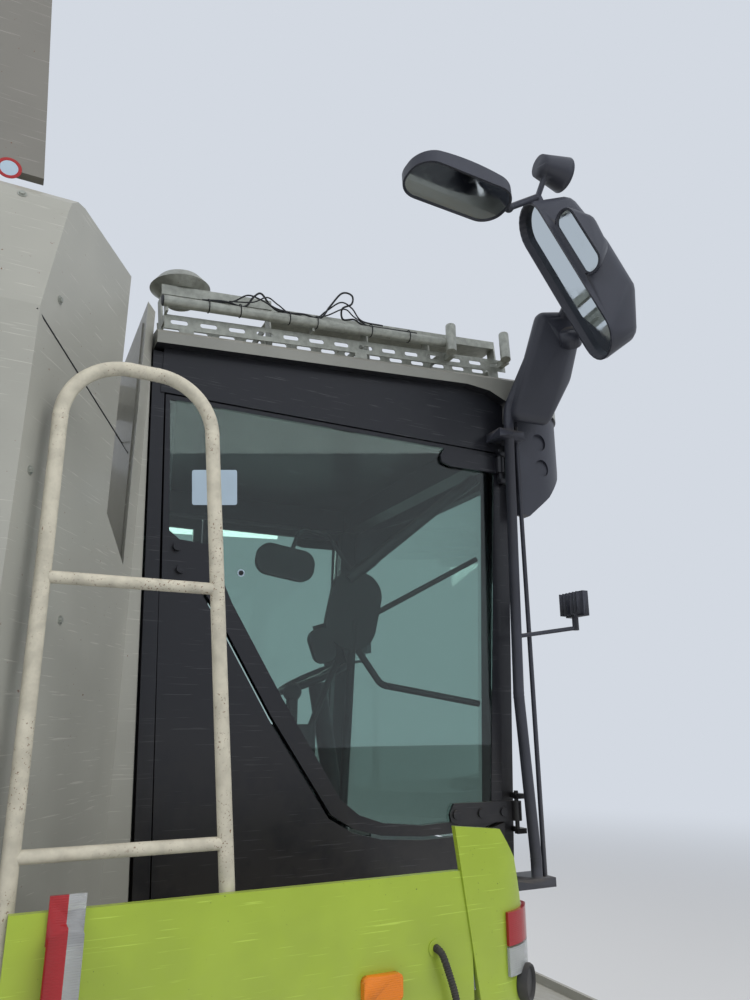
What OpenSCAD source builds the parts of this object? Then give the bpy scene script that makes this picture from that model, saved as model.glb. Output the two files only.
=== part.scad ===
// Combine harvester, standing without its header, with the grain tank extension raised.
// +X is forward, +Y is the left side and +Z is up. The origin is on the ground under the middle.

/* [Overall] */
// Length from the feeder mouth to the chopper's rear lip
overall_length = 9100; // [8900:10:9300]
// Width over the tank and the side panels
body_width = 3240; // [3220:10:3240]
// Height of the grain tank's rim
rim_z = 3860; // [3820:10:3900]

/* [Front wheels] */
// Radius over the lug tips
front_tyre_r = 975; // [940:5:980]
// Section width
front_tyre_w = 700; // [620:10:700]
// Radius of the rim's bead seat
front_rim_r = 410; // [380:5:440]
// Gap between the front tyres and the body
front_tyre_gap = 100; // [95:1:110]
// Axle place along the machine
front_axle_x = 880; // [860:10:900]
// Lugs on each side of a front tyre
front_lug_count = 20; // [16:1:24]

/* [Rear wheels] */
// Radius over the lug tips
rear_tyre_r = 655; // [620:5:660]
// Section width
rear_tyre_w = 480; // [420:10:490]
// Radius of the rim's bead seat
rear_rim_r = 305; // [280:5:320]
// Distance of the wheel's middle from the centre plane
rear_track_half = 1210; // [1200:5:1230]
// Axle place along the machine
rear_axle_x = -2870; // [-2900:10:-2850]
// Distance of the kingpin from the centre plane
kingpin_y = 905; // [895:5:915]
// Lugs on each side of a rear tyre
rear_lug_count = 17; // [14:1:20]

/* [Tread] */
// Height of the lugs
lug_h = 45; // [30:5:50]
// Thickness of a lug at its tip
lug_t = 58; // [45:1:70]

/* [Threshing body] */
// Width between the inner side walls
core_width = 1700; // [1660:10:1710]
// Height of its flat top
core_top_z = 2040; // [2030:5:2040]
// Height of the cleaning box's floor
core_floor_z = 800; // [760:10:850]
// Height of the straw hood's floor
hood_floor_z = 1430; // [1420:10:1450]

/* [Grain tank] */
// Front of the outer wall
tank_front_x = 1590; // [1580:5:1600]
// Rear wall
tank_rear_x = -850; // [-870:10:-840]
// Front wall behind the cab
tank_nose_x = 2000; // [1995:5:2005]
// Half width at the front wall
tank_nose_half = 925; // [920:5:930]
// Where the outer wall starts to lean in
shoulder_z = 3410; // [3390:10:3420]
// Lean of the shoulder, inwards
shoulder_in = 70; // [50:5:90]
// Thickness of the tank's walls with their ribs
tank_wall = 40; // [30:5:50]
// Width of one raised lid
lid_w = 1180; // [1150:10:1190]
// Thickness of a lid
lid_t = 35; // [25:5:40]

/* [Cab] */
// Half width over the cab's frame
cab_half = 885; // [880:1:886]
// Top of the cab's floor
cab_floor_z = 1720; // [1715:5:1730]
// Top of the door opening
cab_door_top_z = 3520; // [3510:5:3530]
// Thickness of a door
door_t = 35; // [25:5:35]
// Thickness of the windows
glass_t = 6; // [5:1:8]
// Half width of the roof
roof_half = 985; // [960:5:1000]

/* [Platforms] */
// Top of the walking surface
platform_z = 1700; // [1690:5:1705]
// Top of the green side skirt
skirt_top_z = 1870; // [1860:5:1880]
// Bottom of the green side skirt
skirt_bottom_z = 1420; // [1400:10:1450]
// Diameter of the handrail tube
rail_d = 42; // [34:1:48]

/* [Feeder house] */
// Height of the pivot
feeder_pivot_z = 1330; // [1325:1:1335]
// Pivot place along the machine
feeder_pivot_x = 2035; // [2030:1:2040]
// Slope of the feeder house as it is parked
feeder_slope = 17; // [16:0.5:18]
// Width of the channel
feeder_w = 1440; // [1400:10:1460]
// Height of the channel
feeder_h = 640; // [600:10:660]
// Radius of the header lock holes
header_lock_r = 20; // [16:1:24]

/* [Unloading auger] */
// Outer radius of the tube
auger_r = 165; // [150:5:170]
// Height of the stowed tube's middle
auger_z = 3200; // [3195:5:3205]
// Distance of the stowed tube from the centre plane
auger_y = 1420; // [1415:1:1425]
// Place of the swing axis along the machine
auger_x = 1250; // [1230:10:1270]
// Length from the swing axis to the tube's end
auger_len = 5250; // [5100:10:5300]

/* [Hidden] */
$fn = 48;

body_half = body_width / 2;
core_half = core_width / 2;
front_track_half = core_half + front_tyre_w / 2 + front_tyre_gap;
front_end_x = overall_length / 2;
rear_end_x = -overall_length / 2;
front_axle_z = front_tyre_r;
rear_axle_z = rear_tyre_r;
tank_floor_z = core_top_z + 10;
deck_z = 2300;
deck_t = 40;
hood_front_x = -930;
hood_rear_x = -3260;
seat_gap = 0.3;

// Shapes that repeat

module tube(p, q, d) {
  v = q - p;
  h = norm(v);
  translate(p)
    rotate([0, acos(v[2] / h), atan2(v[1], v[0])])
      cylinder(h = h, d = d, $fn = 24);
}

function unit(v) = v / norm(v);

// Turn that brings +Z to a direction, and a vector's angle round that axis
function turn_of(v) = [0, acos(v[2] / norm(v)), atan2(v[1], v[0])];
function angle_in(t, v) = atan2(
  v[1] * cos(t[2]) - v[0] * sin(t[2]),
  (v[0] * cos(t[2]) + v[1] * sin(t[2])) * cos(t[1]) - v[2] * sin(t[1]));

// Tube through points, bent at radius r, with a weld collar at each end of a bend
module bent_tube(points, d, r) {
  n = len(points);
  way = [for (i = [0 : n - 2]) unit(points[i + 1] - points[i])];
  bend = [for (i = [0 : n - 1]) i == 0 || i == n - 1 ? 0 : acos(way[i - 1] * way[i])];
  for (i = [0 : n - 2])
    tube(points[i] + way[i] * r * tan(bend[i] / 2), points[i + 1] - way[i] * r * tan(bend[i + 1] / 2), d);
  for (i = [1 : 1 : n - 2]) {
    axis = unit(cross(way[i - 1], way[i]));
    inward = cross(axis, way[i - 1]);
    t = turn_of(axis);
    for (w = [-way[i - 1], way[i]])
      translate(points[i] + w * r * tan(bend[i] / 2)) sphere(d = d + 1.5, $fn = 24);
    translate(points[i] - way[i - 1] * r * tan(bend[i] / 2) + inward * r)
      rotate(t)
        rotate([0, 0, angle_in(t, -inward)])
          rotate_extrude(angle = bend[i], $fn = 48) translate([r, 0]) circle(d / 2, $fn = 24);
  }
}

// A plate with its outline in X and Z, from y0 to y1
module side_plate(outline, y0, y1) {
  translate([0, y1, 0])
    rotate([90, 0, 0])
      linear_extrude(y1 - y0)
        polygon(outline);
}

// A plate with its outline in Y and Z, from x0 to x1
module cross_plate(outline, x0, x1) {
  translate([x0, 0, 0])
    rotate([90, 0, 90])
      linear_extrude(x1 - x0)
        polygon(outline);
}

// A block between two corners
module block(low, high) {
  translate(low)
    cube(high - low);
}

// A cylinder along Y, from y0 to y1
module drum(x, z, r, y0, y1, facets = 48) {
  translate([x, y1, z])
    rotate([90, 0, 0])
      cylinder(h = y1 - y0, r = r, $fn = facets);
}

// A child on the right side and its mirror image on the left
module both_sides() {
  children();
  mirror([0, 1, 0]) children();
}

module rounded_rect(w, h, r) {
  translate([-w / 2 + r, -h / 2]) square([w - 2 * r, h]);
  translate([-w / 2, -h / 2 + r]) square([w, h - 2 * r]);
  for (sx = [-1, 1], sy = [-1, 1])
    translate([sx * (w / 2 - r), sy * (h / 2 - r)]) circle(r, $fn = 24);
}

// Wheels

// Half the outline of a tyre's casing, as [radius, place across], with a round side wall
function casing_half(r, w, rim_r) = concat(
  [[r - lug_h, 0], [r - lug_h - 4, w * 0.38]],
  [for (a = [54 : -18 : -54])
    [rim_r + 26 + (r - lug_h - rim_r - 46) * (0.5 + 0.5 * sin(a) / sin(54)),
     w * (0.40 + 0.085 * (cos(a) - cos(54)) / (1 - cos(54)))]],
  [[rim_r + 26, w * 0.36], [rim_r + seat_gap, w * 0.36]]);

// Outline that the lugs reach, from the tread's middle down over the shoulder
function lug_half(r, w) = [
  [r, 0], [r, w * 0.34], [r - 14, w * 0.42], [r - 50, w * 0.48], [r - 118, w * 0.5], [r - 150, w * 0.48],
  [r - 150, 0]
];

function whole(half) = concat(half, [for (i = [len(half) - 1 : -1 : 0]) if (half[i][1] > 0) [half[i][0], -half[i][1]]]);

module turned(outline) {
  rotate([90, 0, 0])
    rotate_extrude($fn = 72)
      polygon(outline);
}

module tyre(x, y, z, r, w, rim_r, lugs) {
  translate([x, y, z]) {
    turned(whole(casing_half(r, w, rim_r)));
    intersection() {
      turned(whole(lug_half(r, w)));
      for (s = [-1, 1], i = [0 : lugs - 1])
        rotate([0, (i + (s > 0 ? 0.5 : 0)) * 360 / lugs, 0])
          translate([0, 0, r - 170])
            rotate([0, 0, s * 42])
              translate([-lug_t / 2, s > 0 ? -12 : 12 - w * 0.8, 0])
                cube([lug_t, w * 0.8, 200]);
    }
  }
}

// A rim with its disc at disc_y and a hole for the hub
module rim(x, y, z, r, w, disc_y, hub_r) {
  barrel_t = 22;
  disc_t = 26;
  half = w * 0.36;
  side = disc_y > y ? 1 : -1;
  difference() {
    union() {
      drum(x, z, r, y - half - 6, y + half + 6);
      for (s = [-1, 1])
        drum(x, z, r + 22, y + s * (half + 7 + seat_gap) - 7, y + s * (half + 7 + seat_gap) + 7);
    }
    drum(x, z, r - barrel_t, y - w, y + w);
  }
  difference() {
    drum(x, z, r - barrel_t + 1, disc_y - disc_t / 2, disc_y + disc_t / 2);
    drum(x, z, hub_r, disc_y - disc_t, disc_y + disc_t);
    for (a = [0 : 45 : 315])
      drum(x + r * 0.66 * cos(a), z + r * 0.66 * sin(a), r * 0.11, disc_y - disc_t, disc_y + disc_t, 24);
  }
  for (a = [22.5 : 45 : 337.5])
    drum(x + (hub_r + 40) * cos(a), z + (hub_r + 40) * sin(a), 14,
       disc_y + side * disc_t / 2 - (side > 0 ? 0 : 18), disc_y + side * disc_t / 2 + (side > 0 ? 18 : 0), 6);
}

front_disc_y = front_track_half + 60;
front_hub_r = 150;
rear_disc_y = rear_track_half + 40;
rear_hub_r = 90;

module front_tyre_left() color("#26262a")
  tyre(front_axle_x, front_track_half, front_axle_z, front_tyre_r, front_tyre_w, front_rim_r, front_lug_count);
module front_tyre_right() color("#26262a")
  mirror([0, 1, 0]) tyre(front_axle_x, front_track_half, front_axle_z, front_tyre_r, front_tyre_w, front_rim_r, front_lug_count);
module front_rim_left() color("#c9cac4")
  rim(front_axle_x, front_track_half, front_axle_z, front_rim_r, front_tyre_w, front_disc_y, front_hub_r);
module front_rim_right() color("#c9cac4")
  mirror([0, 1, 0])
    rim(front_axle_x, front_track_half, front_axle_z, front_rim_r, front_tyre_w, front_disc_y, front_hub_r);
module rear_tyre_left() color("#26262a")
  tyre(rear_axle_x, rear_track_half, rear_axle_z, rear_tyre_r, rear_tyre_w, rear_rim_r, rear_lug_count);
module rear_tyre_right() color("#26262a")
  mirror([0, 1, 0]) tyre(rear_axle_x, rear_track_half, rear_axle_z, rear_tyre_r, rear_tyre_w, rear_rim_r, rear_lug_count);
module rear_rim_left() color("#c9cac4")
  rim(rear_axle_x, rear_track_half, rear_axle_z, rear_rim_r, rear_tyre_w, rear_disc_y, rear_hub_r);
module rear_rim_right() color("#c9cac4")
  mirror([0, 1, 0])
    rim(rear_axle_x, rear_track_half, rear_axle_z, rear_rim_r, rear_tyre_w, rear_disc_y, rear_hub_r);

// Axles and steering

beam_half = 755;
beam_z0 = rear_axle_z - 110;
beam_z1 = rear_axle_z + 130;
knuckle_r = 70;
knuckle_z0 = rear_axle_z - 135;
knuckle_z1 = rear_axle_z + 135;
ear_t = 36;
ear_gap = 5;
steer_arm = 260;
tie_z0 = rear_axle_z - 100;
tie_z1 = rear_axle_z - 60;
pin_gap = 0.15;
kingpin_r = 34;
tie_pin_r = 14;

module front_axle() color("#3a3d40") {
  final_drive_r = 240;
  drum(front_axle_x, front_axle_z, 120, -640, 640);
  both_sides() {
    drum(front_axle_x, front_axle_z, final_drive_r, 600, core_half + 70);
    drum(front_axle_x, front_axle_z, final_drive_r * 0.8, core_half + 70, front_disc_y - 60);
    drum(front_axle_x, front_axle_z, 190, front_disc_y - 60, front_disc_y - 15);
    drum(front_axle_x, front_axle_z, front_hub_r - pin_gap, front_disc_y - 15, front_disc_y + 55);
    block([front_axle_x - 130, 560, front_axle_z + 60], [front_axle_x + 130, 800, 1240 - seat_gap]);
  }
  difference() {
    block([front_axle_x - 170, -260, front_axle_z - 190], [front_axle_x + 150, 260, front_axle_z + 190]);
    block([front_axle_x - 180, -270, front_axle_z + 150], [front_axle_x - 60, 270, front_axle_z + 200]);
  }
}

module rear_axle() color("#3a3d40") {
  difference() {
    union() {
      side_plate([
        [rear_axle_x - 120, beam_z0], [rear_axle_x + 120, beam_z0],
        [rear_axle_x + 120, beam_z1 - 40], [rear_axle_x + 80, beam_z1],
        [rear_axle_x - 80, beam_z1], [rear_axle_x - 120, beam_z1 - 40]
      ], -600, 600);
      block([rear_axle_x - 80, -beam_half, beam_z0], [rear_axle_x + 80, beam_half, beam_z1]);
      both_sides()
        for (z = [knuckle_z0 - ear_gap - ear_t, knuckle_z1 + ear_gap])
          translate([rear_axle_x, 0, z])
            linear_extrude(ear_t) {
              translate([-75, beam_half - 120]) square([150, kingpin_y - beam_half + 120]);
              translate([0, kingpin_y]) circle(75);
            }
      both_sides() {
        block([rear_axle_x - 75, beam_half - 120, beam_z1 - 1],
           [rear_axle_x + 75, beam_half - 60, knuckle_z1 + ear_gap + 1]);
        block([rear_axle_x - 75, beam_half - 120, knuckle_z0 - ear_gap - 1],
           [rear_axle_x + 75, beam_half - 60, beam_z0 + 1]);
      }
      block([rear_axle_x - 100, -140, beam_z1 - 1], [rear_axle_x + 100, 140, 1150 - seat_gap]);
    }
    both_sides()
      translate([rear_axle_x, kingpin_y, 0])
        cylinder(h = 2000, r = kingpin_r + pin_gap, center = true);
  }
}

module knuckle() {
  difference() {
    union() {
      translate([rear_axle_x, kingpin_y, knuckle_z0]) cylinder(h = knuckle_z1 - knuckle_z0, r = knuckle_r);
      translate([rear_axle_x, kingpin_y, knuckle_z0 - ear_gap - ear_t - 20])
        cylinder(h = knuckle_z1 - knuckle_z0 + 2 * (ear_gap + ear_t + 20), r = kingpin_r);
      drum(rear_axle_x, rear_axle_z, 62, kingpin_y, rear_disc_y - 40);
      drum(rear_axle_x, rear_axle_z, 125, rear_disc_y - 40, rear_disc_y - 14);
      drum(rear_axle_x, rear_axle_z, rear_hub_r - pin_gap, rear_disc_y - 14, rear_disc_y + 40);
      translate([rear_axle_x, kingpin_y, tie_z0]) linear_extrude(tie_z1 - tie_z0) {
        translate([-steer_arm, -40]) square([steer_arm, 80]);
        translate([-steer_arm, 0]) circle(40);
      }
    }
    translate([rear_axle_x - steer_arm, kingpin_y, tie_z0 - 50])
      cylinder(h = 140, r = tie_pin_r + pin_gap);
  }
}

module knuckle_left() color("#3a3d40") knuckle();
module knuckle_right() color("#3a3d40") mirror([0, 1, 0]) knuckle();

module tie_rod() color("#8b8f92") {
  x = rear_axle_x - steer_arm;
  eye_z0 = tie_z1 + 6;
  eye_z1 = eye_z0 + 40;
  difference() {
    union() {
      for (s = [-1, 1]) translate([x, s * kingpin_y, eye_z0]) cylinder(h = eye_z1 - eye_z0, r = 34);
      drum(x, (eye_z0 + eye_z1) / 2, 18, -kingpin_y, kingpin_y, 24);
    }
    translate([x, -kingpin_y, eye_z0 - 5]) cylinder(h = 60, r = tie_pin_r + 3);
  }
  translate([x, kingpin_y, tie_z0 - 12]) cylinder(h = eye_z1 - tie_z0 + 18, r = tie_pin_r);
}

// Chassis and threshing body

module frame() color("#3d4143") {
  rail_z0 = 1290;
  rail_z1 = 1420;
  rail_rear_x = -2050;
  both_sides()
    block([rail_rear_x, core_half + seat_gap, rail_z0], [1800, core_half + 70, rail_z1]);
  // Brackets for the feeder house's pivots and the lift cylinders' feet
  both_sides() {
    difference() {
      side_plate([
        [1950 + seat_gap, 1200], [1950 + seat_gap, 1470], [feeder_pivot_x, feeder_pivot_z + 45],
        [feeder_pivot_x + 44, feeder_pivot_z], [feeder_pivot_x, feeder_pivot_z - 45]
      ], -pivot_y - 75, -pivot_y - 35);
    }
    drum(feeder_pivot_x, feeder_pivot_z, pivot_r, -pivot_y - 36, -pivot_y + 30);
    for (e = [-1, 1])
      side_plate([
        [1460, 880 - seat_gap], [1645, 880 - seat_gap], [1600, lift_foot[1] - 40], [1520, lift_foot[1] - 40]
      ], -lift_y + e * 44 - 10, -lift_y + e * 44 + 10);
    drum(lift_foot[0], lift_foot[1], 20, -lift_y - 40, -lift_y + 40);
  }
  // Consoles that carry the cab's floor
  both_sides()
    block([1950 + seat_gap, -860, 1540], [3400, -780, cab_floor_z - 80 - seat_gap]);
  // Rear subframe that carries the swinging axle
  both_sides()
    side_plate([
      [-2160, hood_floor_z - seat_gap], [rear_end_x + 850, hood_floor_z - seat_gap],
      [rear_end_x + 850, 1330], [rear_axle_x - 260, 1150], [rear_axle_x + 260, 1150],
      [-2300, 1190], [-2170, 1300]
    ], 300, 380);
  block([rear_axle_x - 160, -300, 1150], [rear_axle_x + 160, 300, 1330]);
  block([rear_end_x + 860, -300, 1330], [rear_end_x + 950, 300, 1420]);
  // Towing bracket with two ears and an upright pin hole
  difference() {
    union() {
      block([rear_end_x + 990, -90, 1150], [rear_end_x + 1110, 90, 1180]);
      block([rear_end_x + 990, -90, 1060], [rear_end_x + 1110, 90, 1090]);
      block([rear_end_x + 1105, -90, 1060], [rear_end_x + 1150, 90, 1330]);
      block([rear_end_x + 1105, -300, 1250], [rear_end_x + 1150, 300, 1330]);
    }
    translate([rear_end_x + 1045, 0, 1000]) cylinder(h = 250, r = 16);
  }
}

core_outline = [
  [1950, 1130], [1950, core_top_z], [tank_rear_x - 50, core_top_z], [tank_rear_x - 50, deck_z - seat_gap],
  [hood_rear_x - 20, deck_z - seat_gap], [hood_rear_x - 20, hood_floor_z], [-2150, hood_floor_z],
  [-1960, core_floor_z], [480, core_floor_z], [590, 1240], [1190, 1240], [1330, 880], [1650, 880]
];

module body_core() color("#77a32b") {
  side_plate(core_outline, -core_half, core_half);
  // Pressed ribs on both side walls
  for (x = [-1650, -980, -330])
    both_sides()
      block([x - 30, -core_half - 18, core_floor_z + 60], [x + 30, -core_half + 1, 1180]);
}

// Two pulleys and the belt around them, in the plane at y
module belt_pair(a, ra, b, rb, y, w) {
  d = norm([b[0] - a[0], b[1] - a[1]]);
  turn = atan2(b[1] - a[1], b[0] - a[0]);
  tilt = acos((ra - rb) / d);
  t = 14;
  for (p = [[a, ra], [b, rb]]) {
    drum(p[0][0], p[0][1], p[1], y, y + w);
    drum(p[0][0], p[0][1], p[1] + 10, y - 6, y);
    drum(p[0][0], p[0][1], p[1] + 10, y + w, y + w + 6);
  }
  for (s = [-1, 1]) {
    n = [cos(turn + s * tilt), sin(turn + s * tilt)];
    side_plate([
      [a[0] + n[0] * ra, a[1] + n[1] * ra], [b[0] + n[0] * rb, b[1] + n[1] * rb],
      [b[0] + n[0] * (rb + t), b[1] + n[1] * (rb + t)], [a[0] + n[0] * (ra + t), a[1] + n[1] * (ra + t)]
    ], y, y + w);
  }
}

// Columns: first pulley's place, its radius, second pulley's place, its radius, distance out of the wall, side
belt_table = [
  [[-700, 1560], 330, [-1700, 1760], 190, 150, 1],
  [[-1150, 1200], 210, [-1780, 1250], 120, 90, 1],
  [[-450, 1800], 130, [-1350, 1830], 110, 250, 1],
  [[-800, 1600], 280, [-1750, 1650], 160, 150, -1],
  [[-600, 1130], 130, [-1500, 1150], 180, 90, -1]
];

module belt_drives() color("#34373a")
  for (b = belt_table)
    mirror([0, b[5] > 0 ? 0 : 1, 0]) {
      y = core_half + b[4];
      belt_pair(b[0], b[1], b[2], b[3], y, 70);
      for (p = [b[0], b[2]])
        drum(p[0], p[1], 32, core_half + seat_gap, y);
    }

module engine_block() color("#5c6063")
  block([-2600, -430, deck_z + deck_t + seat_gap], [-1500, 430, 3100]);

// Grain tank

function tank_outline(in, grow) = [
  [tank_rear_x - grow, -body_half + in - grow], [tank_front_x + grow * 0.6, -body_half + in - grow],
  [tank_nose_x + grow, -tank_nose_half - grow * 0.5], [tank_nose_x + grow, tank_nose_half + grow * 0.5],
  [tank_front_x + grow * 0.6, body_half - in + grow], [tank_rear_x - grow, body_half - in + grow]
];
channel_in = 1180;
channel_z0 = auger_z - 240;
channel_z1 = auger_z + 215;
lid_hinge_y = body_half - shoulder_in - 95;
lid_hinge_z = rim_z + 40;
lid_front_x = tank_front_x - 40;
lid_rear_x = tank_rear_x + 60;
lid_hinge_x = [lid_rear_x + 250, (lid_rear_x + lid_front_x) / 2, lid_front_x - 250];

// Round top of the shoulder: distance in from the outer wall and distance below the rim
shoulder_curve = [
  [shoulder_in, 80], [shoulder_in + 12, 42], [shoulder_in + 40, 12], [shoulder_in + 80, 0]
];

// Outer form: upright walls, shoulders that lean in, and flat corner panels at the front
module tank_form() {
  translate([0, 0, tank_floor_z])
    linear_extrude(shoulder_z - tank_floor_z)
      polygon(tank_outline(0, 0));
  intersection() {
    translate([0, 0, shoulder_z])
      linear_extrude(rim_z - shoulder_z)
        polygon(tank_outline(0, 0));
    cross_plate(concat(
      [[-body_half, shoulder_z], [body_half, shoulder_z]],
      [for (p = shoulder_curve) [body_half - p[0], rim_z - p[1]]],
      [for (i = [len(shoulder_curve) - 1 : -1 : 0])
        [-body_half + shoulder_curve[i][0], rim_z - shoulder_curve[i][1]]]
    ), tank_rear_x - 10, tank_nose_x + 10);
  }
}

module grain_tank() color("#b9bbb2") {
  floor_top = 2500;
  difference() {
    tank_form();
    // Hopper inside, narrow below and wide above the channel for the unloading tube
    translate([0, 0, channel_z1 + tank_wall])
      linear_extrude(rim_z)
        polygon(tank_outline(shoulder_in + 80, -tank_wall));
    cross_plate([
      [-260, floor_top - 380], [260, floor_top - 380], [channel_in - tank_wall, 2960],
      [channel_in - tank_wall, rim_z], [-channel_in + tank_wall, rim_z], [-channel_in + tank_wall, 2960]
    ], tank_rear_x + tank_wall, tank_nose_x - tank_wall);
    // Channel in the left wall where the unloading tube is stowed
    block([tank_rear_x - 10, channel_in, channel_z0], [auger_x + 330, body_half + 10, channel_z1]);
  }
  // Flange beside the cab's rear posts
  both_sides()
    side_plate([
      [tank_nose_x - 1, platform_z + 20], [tank_nose_x + 84, platform_z + 20], [tank_nose_x - 1, roof_lip_z - 10]
    ], -tank_nose_half, -tank_nose_half + 18);
  block([tank_nose_x - 45, -tank_nose_half, core_top_z + 1], [tank_nose_x, tank_nose_half, rim_z - 60]);
  both_sides()
    cross_plate([
      [-tank_nose_half, platform_z + 20], [-core_half - 80, platform_z + 20],
      [-core_half - 80, tank_floor_z + 5], [-tank_nose_half, tank_floor_z + 5]
    ], tank_nose_x - 45, tank_nose_x);
  // Lower ends of the corner panels, down to the platform
  both_sides()
    translate([0, 0, platform_z + 20])
      linear_extrude(tank_floor_z - platform_z)
        polygon([
          [tank_front_x + 70, -body_half + 70 * 1.7], [tank_front_x + 70, -body_half + 70 * 1.7 + 40],
          [tank_nose_x - 40, -tank_nose_half + 4], [tank_nose_x, -tank_nose_half]
        ]);
  // Beam across the opening that carries the filling auger
  block([tank_rear_x + 10, -110, rim_z - 80], [tank_nose_x - 10, 110, rim_z + 20]);
  // Hinge rails of the two lids
  both_sides()
    for (x = lid_hinge_x) {
      for (e = [-76, 64])
        block([x + e, -lid_hinge_y - 18, rim_z - 1], [x + e + 12, -lid_hinge_y + 13, lid_hinge_z + 11]);
      translate([x - 70, -lid_hinge_y, lid_hinge_z]) rotate([0, 90, 0]) cylinder(h = 140, r = hinge_pin_r, $fn = 32);
    }
  both_sides()
    panel_hanger(panel_hinge_x[0], tank_floor_z + 5);
  // Ring that the unloading elbow turns on
  translate([auger_x, auger_y, channel_z0 - 1])
    difference() {
      cylinder(h = 25 - seat_gap, r = auger_r + 30);
      translate([0, 0, -1]) cylinder(h = 40, r = auger_r - 20);
    }
}

module filling_auger() color("#9da1a3") {
  // Sloped tube from the tank's floor up to its mouth under the beam
  tube([1300, 0, 2330], [1300, 0, rim_z - 80 - seat_gap - 160], 260);
  translate([1300, 0, rim_z - 260]) cylinder(h = 180 - seat_gap, r1 = 130, r2 = 190);
}

module tank_lid() {
  taper = 90;
  translate([0, -lid_hinge_y - lid_t / 2, lid_hinge_z])
    side_plate([
      [lid_rear_x, 24], for (x = lid_hinge_x) each [[x - 50, 24], [x - 50, 14], [x + 50, 14], [x + 50, 24]],
      [lid_front_x, 24], [lid_front_x - taper, lid_w], [lid_rear_x + taper, lid_w]
    ], 0, lid_t);
  for (x = lid_hinge_x)
    translate([x, -lid_hinge_y, lid_hinge_z])
      rotate([0, 90, 0])
        difference() {
          translate([0, 0, -60]) cylinder(h = 120, r = 22, $fn = 32);
          translate([0, 0, -61]) cylinder(h = 122, r = hinge_pin_r + pin_gap, $fn = 32);
        }
}
module tank_lid_right() color("#b9bbb2") tank_lid();
module tank_lid_left() color("#b9bbb2") mirror([0, 1, 0]) tank_lid();

module unloading_tube() color("#c6c8c0") {
  end_x = auger_x - auger_len;
  translate([auger_x, auger_y, channel_z0 + 24]) cylinder(h = auger_z - channel_z0 - 24, r = auger_r + 8);
  translate([auger_x, auger_y, auger_z]) sphere(r = auger_r + 8);
  translate([auger_x, auger_y, auger_z]) rotate([0, -90, 0]) cylinder(h = auger_len, r = auger_r);
  for (x = [-150, -2300, -4400])
    translate([auger_x + x, auger_y, auger_z]) rotate([0, -90, 0]) cylinder(h = 30, r = auger_r + 8);
  // Spout that turns down at the end
  side_plate([
    [end_x + 10, auger_z + auger_r], [end_x - 120, auger_z + auger_r], [end_x - 260, auger_z + 40],
    [end_x - 300, auger_z - 330], [end_x - 60, auger_z - 330], [end_x + 10, auger_z - auger_r]
  ], auger_y - auger_r, auger_y + auger_r);
}

// Engine deck and rear hood

screen_x = -2560;
screen_z = 2880;
screen_r = 430;
screen_y = -1330;

module engine_deck() color("#55595b") {
  z0 = deck_z + deck_t;
  deck_half = body_half - 60;
  block([hood_rear_x - 20, -deck_half, deck_z], [tank_rear_x - 10, deck_half, z0]);
  both_sides() {
    block([hood_rear_x - 20, -deck_half, deck_z - 120], [tank_rear_x - 10, -deck_half + 25, deck_z + 1]);
    for (i = [1, 2])
      panel_hanger(panel_hinge_x[i], deck_z + 1);
  }
}

module engine_hood() color("#7da82f") {
  hood_half = 960;
  wall = 35;
  top_z = 3330;
  z0 = deck_z + deck_t + seat_gap;
  side = [
    [hood_rear_x + 40, z0], [hood_front_x - 20, z0], [hood_front_x - 20, top_z - 60],
    [hood_front_x - 120, top_z], [-2500, top_z], [hood_rear_x + 40, 2980]
  ];
  inner = [
    [hood_rear_x + 40 + wall, z0 - 1], [hood_front_x - 20 - wall, z0 - 1], [hood_front_x - 20 - wall, top_z - 90],
    [hood_front_x - 150, top_z - wall], [-2480, top_z - wall], [hood_rear_x + 40 + wall, 2950]
  ];
  difference() {
    side_plate(side, -hood_half, hood_half);
    side_plate(inner, -hood_half + wall, hood_half - wall);
    // Louvre slots in the left side
    for (x = [-2900 : 160 : -1300], z = [2560 : 90 : 2920])
      block([x, hood_half - wall - 5, z], [x + 120, hood_half + 5, z + 30]);
  }
  // Round cooling air housing on the right, open towards the turning screen
  difference() {
    union() {
      block([screen_x - 500, screen_y + 120, z0], [screen_x + 500, -hood_half, screen_z + 470]);
      drum(screen_x, screen_z, screen_r + 50, screen_y + 20, screen_y + 121);
    }
    drum(screen_x, screen_z, screen_r + 8, screen_y - 5, screen_y + 100);
  }
  drum(screen_x, screen_z, 40, screen_y + 32, screen_y + 110);
  // Exhaust, air cleaner and rear beacon post
  translate([-1250, -620, top_z - 1]) cylinder(h = 420, r = 75);
  translate([-1250, -620, top_z + 300]) cylinder(h = 20, r = 88);
  translate([-1300, 480, top_z - 1]) cylinder(h = 170, r = 110);
  translate([-1300, 480, top_z + 169]) cylinder(h = 120, r1 = 190, r2 = 150);
}

module radiator_screen() color("#4a4e50") {
  difference() {
    drum(screen_x, screen_z, screen_r, screen_y, screen_y + 60, 64);
    drum(screen_x, screen_z, screen_r - 16, screen_y + 8, screen_y + 61, 64);
  }
  difference() {
    drum(screen_x, screen_z, 90, screen_y - 12, screen_y + 58);
    drum(screen_x, screen_z, 40 + pin_gap, screen_y + 30, screen_y + 59);
  }
  for (a = [0 : 60 : 300])
    translate([screen_x, screen_y + 4, screen_z])
      rotate([0, a, 0])
        translate([0, -12, -14]) cube([screen_r - 5, 16, 28]);
}

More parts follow.
